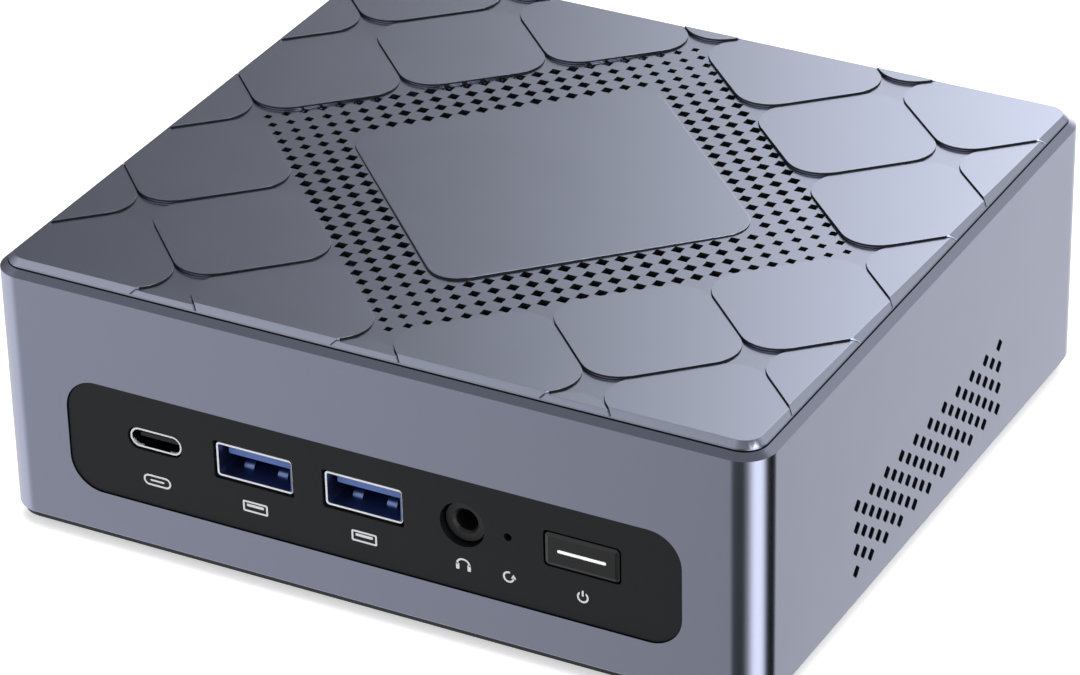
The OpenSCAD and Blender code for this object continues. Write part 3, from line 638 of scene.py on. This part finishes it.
def rim(name, node, radius, right_w=RIM_W):
    """A pale rounded lip on a sleeve's mouth: painted highlight. right_w: width of its right side."""
    low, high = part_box(node)
    left, right, top = low.x - RIM_PROUD, high.x + RIM_PROUD, high.z + RIM_PROUD
    bottom = 2 * ROW_Z - top
    lip = round_block(name, (left, low.y - RIM_PROUD, bottom), (right, low.y + RIM_DEEP, top),
                      radius, axis=1)
    boolean(lip, round_block("mouth", (left + RIM_W, low.y - MM, bottom + RIM_W),
                             (right - right_w, low.y + MM, top - RIM_W),
                             radius - RIM_W * 0.9, axis=1))
    soften(lip, RIM_ROUND, 3, 50)
    return finished(lip, "case", "socket_steel", own="rim_painted_highlight")


def spring_finger(name, x, y, floor_z):
    """A curved tongue of sheet that rises from the floor of a sleeve."""
    axis_z = floor_z - FINGER_SUNK
    finger = rod(name, FINGER_R, (x - FINGER_W / 2, y, axis_z), (x + FINGER_W / 2, y, axis_z))
    slice_faces(finger, (0, 0, floor_z), (0, 0, 1), use_fill=True, clear_inner=True)
    return soften(finger, FINGER_ROUND, 3)


rim("type_c_rim", "type_c_shell", TYPE_C_RIM_R)
# The type A rims have a thin right side, where no highlight shows.
for socket in ("1", "2"):
    rim("type_a_rim_" + socket, "type_a_shell_" + socket, TYPE_A_RIM_R, THIN_RIM_W)
    low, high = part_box("type_a_shell_" + socket)
    floor_z = 2 * ROW_Z - high.z + SLEEVE_T
    fingers = [spring_finger("finger", (low.x + high.x) / 2 + side * FINGER_X, low.y + FINGER_DEEP,
                             floor_z) for side in (-1, 1)]
    # The springs, and below them the sleeve, get dark bluish steel: painted shade inside the socket.
    finished(joined("type_a_springs_" + socket, fingers), "case", "socket_steel", own="painted_shade_blue_steel")
    PIECES["type_a_shell_" + socket + "_soft"] = "painted_shade_blue_steel"
    tongue = bpy.data.objects["type_a_tongue_" + socket + "_soft"]
    # Past its first few millimetres the tongue gets black plastic: painted shade deep in the socket.
    second_finish(tongue, "inner_plastic", lambda face: face.center.y > low.y + TONGUE_UNSHADED_L)
print("front sockets have rims and springs")

# %% [markdown]
# The audio jack's nose is a turned ring, with a mouth that a cone widens to guide the plug in. The
# front of the carried-over nose is cut away, and a rod with a clean bore and cone stands there.

# %% Audio nose
jack_low, jack_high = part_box("audio_jack")
jack_x = (jack_low.x + jack_high.x) / 2
NOSE_R, MOUTH_R, BORE_R, NOSE_ROUND = 3.3 * MM, 2.2 * MM, 1.8 * MM, 0.12 * MM
MOUTH_DEEP, NOSE_DEEP, NOSE_ROOM, CUT_PAST = 0.5 * MM, 1.9 * MM, 4 * MM, 0.02 * MM


def jack_rod(name, radius, start, end):
    """A rod along the jack's axis. start and end count from its front."""
    return rod(name, radius, (jack_x, jack_low.y + start, ROW_Z),
               (jack_x, jack_low.y + end, ROW_Z), 64)


jack = bpy.data.objects["audio_jack_soft"]
boolean(jack, block("nose_room", (jack_x - NOSE_ROOM, jack_low.y - MM, ROW_Z - NOSE_ROOM),
                    (jack_x + NOSE_ROOM, jack_low.y + NOSE_DEEP, ROW_Z + NOSE_ROOM)))
shade(jack)
nose = jack_rod("audio_nose", NOSE_R, 0, NOSE_DEEP)
boolean(nose, jack_rod("bore", BORE_R, -MM, 2 * NOSE_DEEP))
cone = jack_rod("cone", MOUTH_R, -CUT_PAST, MOUTH_DEEP)
shape_part(cone, "FACE", facing(1, 1), bpy.ops.transform.resize, value=(BORE_R / MOUTH_R,) * 3)
boolean(nose, cone)
finished(soften(nose, NOSE_ROUND, 3, 30), "case", "inner_plastic")
print("audio mouth is", round(2 * MOUTH_R / MM, 1), "mm wide")

# %% [markdown]
# ## Pictograms
# The sockets are marked with small white signs, printed on the panel in thick ink. They are plain
# ones of this model's own: an outline of each socket, headphones, a turning arrow and the usual
# sign for power. Each is built from bars and rings, which are thin beveled blocks.

# %% Printed signs
INK_FRONT, INK_BACK = panel_y - 0.03 * MM, panel_y + 0.05 * MM
STROKE, SIGN_H, SIGN_R, INK_ROUND = 0.3, 1.9, 0.94, 0.015 * MM
SIGN_Z = ROW_Z - 6.8 * MM


def ink_box(maker, place, size, deeper=0, **settings):
    """A block of ink. place and size are x and z in mm, counted from the middle of one sign."""
    x, z = sign_x + place[0] * MM, SIGN_Z + place[1] * MM
    half_w, half_h = size[0] * MM / 2, size[1] * MM / 2
    return maker("ink", (x - half_w, INK_FRONT - deeper, z - half_h),
                 (x + half_w, INK_BACK + deeper, z + half_h), **settings)


def bar(place, size):
    """A filled stroke."""
    return ink_box(round_block, place, size, radius=0.1 * MM, axis=1, segments=3)


def ring(place, size, radius=SIGN_R):
    """A round-cornered outline, one stroke wide."""
    hole = size[0] - 2 * STROKE, size[1] - 2 * STROKE
    outside = ink_box(round_block, place, size, radius=radius * MM, axis=1)
    return boolean(outside, ink_box(round_block, place, hole, MM, axis=1,
                                    radius=max(radius - STROKE, 0.05) * MM))


def gap(piece, place, size):
    """Cut a window into a ring."""
    return boolean(piece, ink_box(block, place, size, MM))


def middle_x(node):
    """Where a part's middle lies from left to right."""
    low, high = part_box(node)
    return (low.x + high.x) / 2


sign_x = middle_x("type_c_shell")
signs = [ring((0, 0), (4.8, SIGN_H)), bar((0, 0), (2.4, STROKE))]
for socket in ("1", "2"):
    sign_x = middle_x("type_a_shell_" + socket)
    signs += [ring((0, 0), (4.3, SIGN_H), STROKE), bar((0, 0.22), (2.9, 0.45))]
sign_x = middle_x("audio_jack")
signs += [gap(ring((0, -0.1), (2.4, 2.3), 1.13), (0, -1.1), (3, 2)),
          bar((-0.95, -0.42), (0.55, 1.05)), bar((0.95, -0.42), (0.55, 1.05))]
sign_x = middle_x("reset_plunger")
signs.append(gap(ring((0, 0), (SIGN_H, SIGN_H)), (0.7, 0.45), (1, 0.9)))
arrow_place = (sign_x + 0.8 * MM, (INK_FRONT + INK_BACK) / 2, SIGN_Z + 0.1 * MM)
deselect()
bpy.ops.mesh.primitive_cylinder_add(vertices=3, radius=0.5 * MM, depth=INK_BACK - INK_FRONT,
                                    location=arrow_place, rotation=(math.pi / 2, 0, 0))
signs.append(named("arrow_head"))
sign_x = cap_x
signs += [gap(ring((0, -0.05), (SIGN_H, SIGN_H)), (0, 0.75), (1, 0.8)), bar((0, 0.6), (STROKE, 1))]
signs = soften(joined("panel_signs", signs), INK_ROUND, 1, 50)
finished(signs, "case", own="pad_printed_ink")
print("signs:", len(signs.data.polygons), "faces")

# %% [markdown]
# ## Back sockets
# The tongues of the back sockets are moulded plastic in steel sleeves, so their faces get a second
# finish. A network socket has eight sprung wires in its floor, gold plated, that rise inwards.
# Each is a thin beveled bar whose inner end is lifted.

# %% Tongues and contact wires
MOUTH_EDGE = 0.5 * MM


def on_tongue(centres, heights, half_w, half_h, start, end):
    """A test for faces that belong to the tongues of a back socket, between two depths."""
    def test(face):
        x, y, z = face.center
        return (min(abs(x - centre) for centre in centres) < half_w and start < y < end
                and min(abs(z - height) for height in heights) < half_h)
    return test


TYPE_A_LOWER, TYPE_A_UPPER = board_top + 4.3 * MM, board_top + 11.3 * MM
TYPE_A_HALF_W, TYPE_A_HALF_H, TYPE_A_DEEP = 5.6 * MM, 0.97 * MM, 11.9 * MM
type_a_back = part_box("rear_type_a_sockets")[1].y
second_finish(bpy.data.objects["rear_type_a_sockets_soft"], "blue_plastic",
              on_tongue([middle_x("rear_type_a_sockets")], [TYPE_A_LOWER, TYPE_A_UPPER],
                        TYPE_A_HALF_W, TYPE_A_HALF_H,
                        type_a_back - TYPE_A_DEEP, type_a_back - MOUTH_EDGE))
DISPLAY_HALF, DISPLAY_TONGUE_Z, DISPLAY_DEEP = 7.5 * MM, 2.8 * MM, 8.9 * MM
DISPLAY_HALF_W, DISPLAY_HALF_H = 5.85 * MM, 0.65 * MM
display_low, display_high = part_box("display_sockets")
second_finish(bpy.data.objects["display_sockets_soft"], "inner_plastic",
              on_tongue([display_low.x + DISPLAY_HALF, display_high.x - DISPLAY_HALF],
                        [display_high.z - DISPLAY_TONGUE_Z], DISPLAY_HALF_W, DISPLAY_HALF_H,
                        display_high.y - DISPLAY_DEEP, display_high.y - MOUTH_EDGE))

WIRES, WIRE_STEP, WIRE_W, WIRE_T, WIRE_L = 8, 1.02 * MM, 0.4 * MM, 0.3 * MM, 7 * MM
WIRE_RISE, WIRE_START, WIRE_Z = 2.4 * MM, 3 * MM, 2.2 * MM


def contact_wire(x, y, z):
    """A flat wire that starts at the mouth and rises towards the back."""
    wire = round_block("wire", (x - WIRE_W / 2, y - WIRE_L, z), (x + WIRE_W / 2, y, z + WIRE_T),
                       0.1 * MM, axis=1, segments=2)
    return shape_part(wire, "VERT", lambda mesh, vertex: vertex.co.y < y - WIRE_L / 2,
                      bpy.ops.transform.translate, value=(0, 0, WIRE_RISE))


for socket in ("1", "2"):
    low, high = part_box("network_socket_" + socket)
    first_x = (low.x + high.x - (WIRES - 1) * WIRE_STEP) / 2
    wires = [contact_wire(first_x + number * WIRE_STEP, high.y - WIRE_START, low.z + WIRE_Z)
             for number in range(WIRES)]
    finished(shade(joined("network_contacts_" + socket, wires)), "case", own="gold_plate")
print("network sockets have", WIRES, "contact wires each")

# %% [markdown]
# ## Power button
# The cap stands a little proud of the panel, with a wide bevel all round its face that catches the
# light on one side. A block is inset and pulled forward for the bevel, and the slot for the
# light bar is cut into it. Its flange and stem, behind the panel, are what the switch feels.

# %% Button cap
switch_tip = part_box("power_switch_plunger")[0].y
CAP_HALF_W, CAP_HALF_H, CAP_R = 6 * MM, 2.75 * MM, 0.6 * MM
CAP_BEVEL, CAP_BEVEL_DEEP, BAR_ROOM = 0.55 * MM, 0.28 * MM, 0.05 * MM
FLANGE_OUT, FLANGE_T, STEM_R, HIDDEN_ROUND = 0.9 * MM, 1 * MM, 2 * MM, 0.1 * MM
cap_front, cap_back = -HALF_D + 0.02 * MM, panel_y + 2.85 * MM
flange_back = cap_back + FLANGE_T
cap = round_block("button_cap",
                  (cap_x - CAP_HALF_W, cap_front + CAP_BEVEL_DEEP, ROW_Z - CAP_HALF_H),
                  (cap_x + CAP_HALF_W, cap_back, ROW_Z + CAP_HALF_H), CAP_R, axis=1, segments=6)
shape_part(cap, "FACE", facing(1, -1), bpy.ops.mesh.inset, thickness=CAP_BEVEL, depth=CAP_BEVEL_DEEP)
boolean(cap, round_block("bar_slot", (bar_low.x - BAR_ROOM, cap_front - MM, bar_low.z - BAR_ROOM),
                         (bar_high.x + BAR_ROOM, bar_high.y, bar_high.z + BAR_ROOM),
                         0.3 * MM, axis=1, segments=6))
soften(cap, 0.05 * MM, 2, 20)
flange_w, flange_h = CAP_HALF_W + FLANGE_OUT, CAP_HALF_H + FLANGE_OUT
flange = round_block("flange", (cap_x - flange_w, cap_back, ROW_Z - flange_h),
                     (cap_x + flange_w, flange_back, ROW_Z + flange_h), FLANGE_OUT, axis=1,
                     segments=5)
stem = rod("stem", STEM_R, (cap_x, flange_back, ROW_Z), (cap_x, switch_tip, ROW_Z))
cap = joined("power_button_cap", [cap, soften(flange, HIDDEN_ROUND), soften(stem, HIDDEN_ROUND)])
finished(cap, "power_button", "button_plastic", ["power_button"])
light_bar = round_block("power_light", (bar_low.x, cap_front + 0.03 * MM, bar_low.z),
                        (bar_high.x, bar_high.y, bar_high.z), 0.24 * MM, axis=1, segments=8)
soften(light_bar, 0.06 * MM)
finished(light_bar, "power_button", "light_guide", ["power_light_bar"])
print("button cap front is", round((panel_y - cap_front) / MM, 2), "mm proud of the panel")

# %% [markdown]
# ## Finishes
# Each finish starts from what the real one is and how its surface was made. One function makes hex
# colours linear, one adds a node with its settings and links, and one makes the material of a
# slot, with a shader and a fine grain. Patterns read Object coordinates, so their sizes are real.

# %% Helpers for materials
def colour(hex_value):
    """An sRGB hex colour as linear red, green, blue and alpha."""
    parts = [int(hex_value[i:i + 2], 16) / 255 for i in (1, 3, 5)]
    return [v / 12.92 if v <= 0.04045 else ((v + 0.055) / 1.055) ** 2.4 for v in parts] + [1]


def add_node(tree, kind, inputs=None, links=None, **settings):
    """Add a node. inputs sets its sockets, and links joins its sockets to other nodes' outputs."""
    node = tree.nodes.new("ShaderNode" + kind)
    for setting, value in settings.items():
        setattr(node, setting, value)
    for socket, value in (inputs or {}).items():
        node.inputs[socket].default_value = value
    for socket, source in (links or {}).items():
        tree.links.new(source, node.inputs[socket])
    return node


FINISHES = {}
PATCH_MM = 9


def finish(slot, name, base, second, roughness, metallic=0, grain_mm=0.3, depth_mm=0.01,
           rough_change=0.08, **sockets):
    """Make a slot's material.

    A noise of grain_mm gives its bump and mixes its two colours. A coarser one changes the
    roughness.
    """
    material = FINISHES[slot] = bpy.data.materials.new(name)
    material.use_nodes = True
    tree = material.node_tree
    tree.nodes.clear()
    place = add_node(tree, "TexCoord").outputs["Object"]
    grain = add_node(tree, "TexNoise", {"Scale": 1 / (grain_mm * MM), "Detail": 3.0},
                     {"Vector": place})
    patches = add_node(tree, "TexNoise", {"Scale": 1 / (PATCH_MM * MM), "Detail": 2.0},
                       {"Vector": place})
    tint = add_node(tree, "Mix", {"A": colour(base), "B": colour(second)},
                    {"Factor": grain.outputs["Fac"]}, data_type="RGBA")
    gloss = add_node(tree, "MapRange", {"To Min": roughness - rough_change / 2,
                                        "To Max": roughness + rough_change / 2},
                     {"Value": patches.outputs["Fac"]})
    bump = add_node(tree, "Bump", {"Distance": depth_mm * MM, "Strength": 1.0},
                    {"Height": grain.outputs["Fac"]})
    shader = add_node(tree, "BsdfPrincipled", {"Metallic": metallic, **sockets},
                      {"Base Color": tint.outputs["Result"], "Roughness": gloss.outputs["Result"],
                       "Normal": bump.outputs["Normal"]})
    add_node(tree, "OutputMaterial", links={"Surface": shader.outputs["BSDF"]})

# %% [markdown]
# ### Case metal and lid
# Both are bead-blasted aluminium with a grey anodised coat. Blasting leaves pits of about 0.1 mm
# that spread each reflection a little, so the metal looks silky rather than mirror-like. The
# grain is drawn at 0.25 mm, because a true 0.1 mm would be too fine to show. The recesses get a
# dull near-black, non-metallic finish: painted shade for the steps, holes and seam.

# %% Case metal
finish("shell_metal", "bead_blasted_grey_aluminium", "#ABB0C4", "#A5AABE", 0.24, metallic=1,
       grain_mm=0.25, depth_mm=0.002, rough_change=0.03)
finish("lid_finish", "bead_blasted_lid_aluminium", "#B8BED1", "#B0B6C9", 0.25, metallic=1,
       grain_mm=0.25, depth_mm=0.0025, rough_change=0.03)
# Painted shade: a near-black, non-metallic finish for the lid's recesses and the seam.
finish("painted_shade_dark", "unblasted_dark_aluminium", "#0C0C10", "#101014", 0.6, depth_mm=0.003)
print("case metal and lid finishes made")

# %% [markdown]
# ### Plastics and rubber
# Moulded plastic copies the spark-eroded texture of its mould, a fine even grain that dulls the
# gloss. Inner parts are glass-filled and plainer. Rubber is duller still and a little dusty.

# %% Plastics and rubber
finish("panel_plastic", "spark_textured_black_abs", "#0A0B12", "#0F1119", 0.5, depth_mm=0.012,
       IOR=1.42)
finish("base_plastic", "moulded_black_abs", "#1C1D1F", "#232427", 0.55, grain_mm=0.35,
       depth_mm=0.015, IOR=1.54)
finish("button_plastic", "satin_black_polycarbonate", "#0C0D0F", "#111214", 0.36, grain_mm=0.2,
       depth_mm=0.004, IOR=1.53)
finish("inner_plastic", "glass_filled_black_nylon", "#141416", "#1C1C1F", 0.5, depth_mm=0.012,
       IOR=1.53)
finish("blue_plastic", "moulded_blue_nylon", "#4A66A6", "#5370B2", 0.38, grain_mm=0.25,
       depth_mm=0.006, IOR=1.53)
finish("light_guide", "milky_white_polycarbonate", "#F2F4F8", "#FFFFFF", 0.3, grain_mm=0.4,
       depth_mm=0.002, IOR=1.58)
finish("rubber", "moulded_black_rubber", "#18181A", "#222224", 0.78, grain_mm=0.5, depth_mm=0.03,
       IOR=1.52)
finish("cable_jacket", "soft_black_cable_jacket", "#1A1A1C", "#212123", 0.6, grain_mm=0.6, IOR=1.52)
finish("pad_printed_ink", "white_pad_printing_ink", "#D4D5D8", "#C6C8CC", 0.5, grain_mm=0.15,
       depth_mm=0.006, IOR=1.5)
print("plastic finishes made")

# %% [markdown]
# ### Metals of the small parts
# Socket sleeves are stamped steel with bright nickel, latches plain spring steel and screws zinc
# plated. The front rims' pale half-metallic finish is a painted highlight, and the dark bluish
# steel of the large sleeves and their springs is painted shade. Heat pipes are drawn copper, and
# the fins and cans bare aluminium.
# Metals keep the default IOR, because their colour comes from the base colour alone.

# %% Small metals
finish("socket_steel", "nickel_plated_steel", "#A9ACB2", "#A0A3AA", 0.22, metallic=1, grain_mm=0.5,
       depth_mm=0.002, rough_change=0.1)
# Painted highlight: a near-white, half-metallic finish for the front sockets' rims.
finish("rim_painted_highlight", "matte_tin_plated_steel", "#F8F9FB", "#F1F2F5", 0.4, metallic=0.5,
       depth_mm=0.002)
# Painted shade: dark bluish steel for the inside of the large front sockets.
finish("painted_shade_blue_steel", "blued_spring_steel", "#7F8FBC", "#7887B2", 0.35, metallic=1, depth_mm=0.002)
finish("gold_plate", "gold_plated_phosphor_bronze", "#E3B65A", "#DAAC50", 0.25, metallic=1,
       grain_mm=0.4, depth_mm=0.001)
finish("spring_steel", "rolled_spring_steel", "#C3C6CB", "#B9BCC2", 0.3, metallic=1, grain_mm=0.4,
       depth_mm=0.002)
finish("plain_steel", "zinc_plated_steel", "#BFC3C9", "#AFB4BC", 0.33, metallic=1, depth_mm=0.003)
finish("dark_steel", "blackened_steel", "#4A4B50", "#3E3F44", 0.4, metallic=1, depth_mm=0.004)
finish("can_aluminium", "drawn_bare_aluminium", "#D2D4D8", "#C6C9CE", 0.32, metallic=1,
       grain_mm=0.4, depth_mm=0.003)
finish("copper", "drawn_copper", "#D98A63", "#C87A55", 0.3, metallic=1, grain_mm=0.8,
       depth_mm=0.003, rough_change=0.15)
finish("bearing_brass", "turned_brass", "#C9A45C", "#BC964E", 0.25, metallic=1, depth_mm=0.002)
print("small metal finishes made")

# %% [markdown]
# ### Boards and chips
# A circuit board is woven glass under a glossy solder mask, and the weave shows faintly through.
# Chips are moulded in dull black resin, and coil cores are pressed grey powder.

# %% Boards and chips
finish("circuit_board", "green_solder_mask", "#1B4A33", "#22573D", 0.32, grain_mm=1.2, IOR=1.55)
finish("card_board", "dark_blue_solder_mask", "#1D2A44", "#24324F", 0.32, grain_mm=1.2, IOR=1.55)
finish("chip_resin", "black_moulding_resin", "#242426", "#2C2C2F", 0.6, grain_mm=0.2, IOR=1.55)
finish("ferrite", "pressed_grey_ferrite", "#6B6C70", "#5E5F63", 0.55, grain_mm=0.25, depth_mm=0.015,
       IOR=1.6)
print(len(FINISHES), "finishes, and the record has", len(set(SLOT_OF.values())), "slots")

# %% [markdown]
# Every new piece and every CAD part now gets the finish of its slot, or its own. The faces that
# were remembered get a second one.

# %% Give out the finishes
for name, finish_name in PIECES.items():
    mesh = bpy.data.objects[name].data
    mesh.materials.clear()
    mesh.materials.append(FINISHES[finish_name])
for name, (finish_name, faces) in SECOND_FINISH.items():
    mesh = bpy.data.objects[name].data
    mesh.materials.append(FINISHES[finish_name])
    for index in faces:
        mesh.polygons[index].material_index = 1
for name, node in frame["nodes"].items():
    if len(node.material_slots) == 0:
        node.data.materials.append(None)
    for material_slot in node.material_slots:
        material_slot.material = FINISHES[SLOT_OF[name]]
print("painted", len(PIECES), "pieces and", len(frame["nodes"]), "CAD parts")

# %% [markdown]
# ## Floor and light
# The object stands on a plain pale floor. Metal shows its surroundings more than its own colour,
# so the studio is drawn round it: a bright wall at the back and a lamp to the right, a greyer side
# at the front left, and two dark cards near the floor that give the round corner its crisp bands.

# %% Floor
deselect()
bpy.ops.mesh.primitive_plane_add(size=8, location=(0, 0, 0))
floor = named("floor")
floor.visible_glossy = False
floor_paint = bpy.data.materials.new("pale_studio_paper")
floor_paint.use_nodes = True
floor_shader = floor_paint.node_tree.nodes["Principled BSDF"]
floor_shader.inputs["Base Color"].default_value = colour("#F4F4F6")
floor_shader.inputs["Roughness"].default_value = 0.9
floor_shader.inputs["Specular IOR Level"].default_value = 0.0
floor_shader.inputs["Emission Color"].default_value = colour("#FFFFFF")
floor_shader.inputs["Emission Strength"].default_value = 0.5
floor.data.materials.append(floor_paint)

# %% [markdown]
# The world is a ring of brightness for rays that go down past the floor's edge, and another for
# rays that go up. An angle counts from the front, -Y, towards the right, +X.

# %% Studio surroundings
bpy.context.scene.view_settings.view_transform = "Standard"
LOW_RING = {-90: 1.1, -60: 1.1, -45: 0.65, -36: 0.56, -27: 0.46, -20: 0.4, -13: 0.06, 22: 0.04,
            38: 0.5, 50: 1.4, 60: 1.95, 84: 1.9, 96: 0.9, 105: 0.04, 117: 0.0, 141: 0.0, 148: 0.45,
            152: 0.62, 156: 0.86, 160: 1.1, 200: 0.8}
HIGH_RING = {-90: 0.35, -60: 0.75, -30: 0.88, 10: 0.7, 36: 0.1, 54: 0.2, 62: 3, 86: 3, 94: 0.2,
             104: 0.15, 125: 0.6, 140: 0.75, 152: 0.6, 162: 0.5, 170: 0.65, 182: 1.5, 190: 1.8,
             200.5: 1.8, 208: 0.24, 215: 0.13, 240: 0.15}
world = bpy.data.worlds.new("studio")
bpy.context.scene.world = world
world.use_nodes = True
sky = world.node_tree
sky.nodes.clear()
way = add_node(sky, "TexCoord").outputs["Generated"]
round_fraction = add_node(sky, "TexGradient", links={"Vector": way}, gradient_type="RADIAL")
height = add_node(sky, "SeparateXYZ", links={"Vector": way}).outputs["Z"]


def brightness_ring(tree, stops):
    """A colour ramp round the horizon. Angle 0 is the front, where the radial gradient is 0.25."""
    ramp = add_node(tree, "ValToRGB", links={"Fac": round_fraction.outputs["Fac"]})
    places = sorted(((angle / 360 + 0.25) % 1, value) for angle, value in stops.items())
    places.append((1, places[0][1]))
    for number, (place, value) in enumerate(places):
        elements = ramp.color_ramp.elements
        element = elements[number] if number < 2 else elements.new(place)
        element.position = place
        element.color = (value, value, value * 1.01, 1)
    return ramp.outputs["Color"]


low_ring, high_ring = brightness_ring(sky, LOW_RING), brightness_ring(sky, HIGH_RING)
rise = add_node(sky, "MapRange", {"From Min": -0.46, "From Max": -0.2}, {"Value": height},
                interpolation_type="SMOOTHSTEP")
over = add_node(sky, "MapRange", {"From Min": 0.66, "From Max": 0.86}, {"Value": height},
                interpolation_type="SMOOTHSTEP")
sides = add_node(sky, "Mix", links={"Factor": rise.outputs["Result"], "A": low_ring, "B": high_ring},
                 data_type="RGBA")
around = add_node(sky, "Mix", {"B": (0.22, 0.22, 0.23, 1)},
                  {"Factor": over.outputs["Result"], "A": sides.outputs["Result"]}, data_type="RGBA")
seen = add_node(sky, "LightPath").outputs["Is Camera Ray"]
backdrop = add_node(sky, "Mix", {"B": (1, 1, 1, 1)}, {"Factor": seen, "A": around.outputs["Result"]},
                    data_type="RGBA")
glow = add_node(sky, "Background", {"Strength": 1.0}, {"Color": backdrop.outputs["Result"]})
add_node(sky, "OutputWorld", links={"Surface": glow.outputs["Background"]})


def soft_box(name, place, target, size, power):
    """A large square lamp that faces a point."""
    lamp = bpy.data.lights.new(name, "AREA")
    lamp.shape, lamp.size, lamp.energy = "SQUARE", size, power
    holder = bpy.data.objects.new(name, lamp)
    bpy.context.scene.collection.objects.link(holder)
    holder.location = place
    holder.rotation_euler = (Vector(target) - Vector(place)).to_track_quat("-Z", "Y").to_euler()
    holder.visible_camera = False
    return holder


overhead = soft_box("overhead_soft_box", (0.1, 0.2, 1.5), (0, 0, 0), size=1.6, power=22)
overhead.visible_glossy = False
print("studio ready")
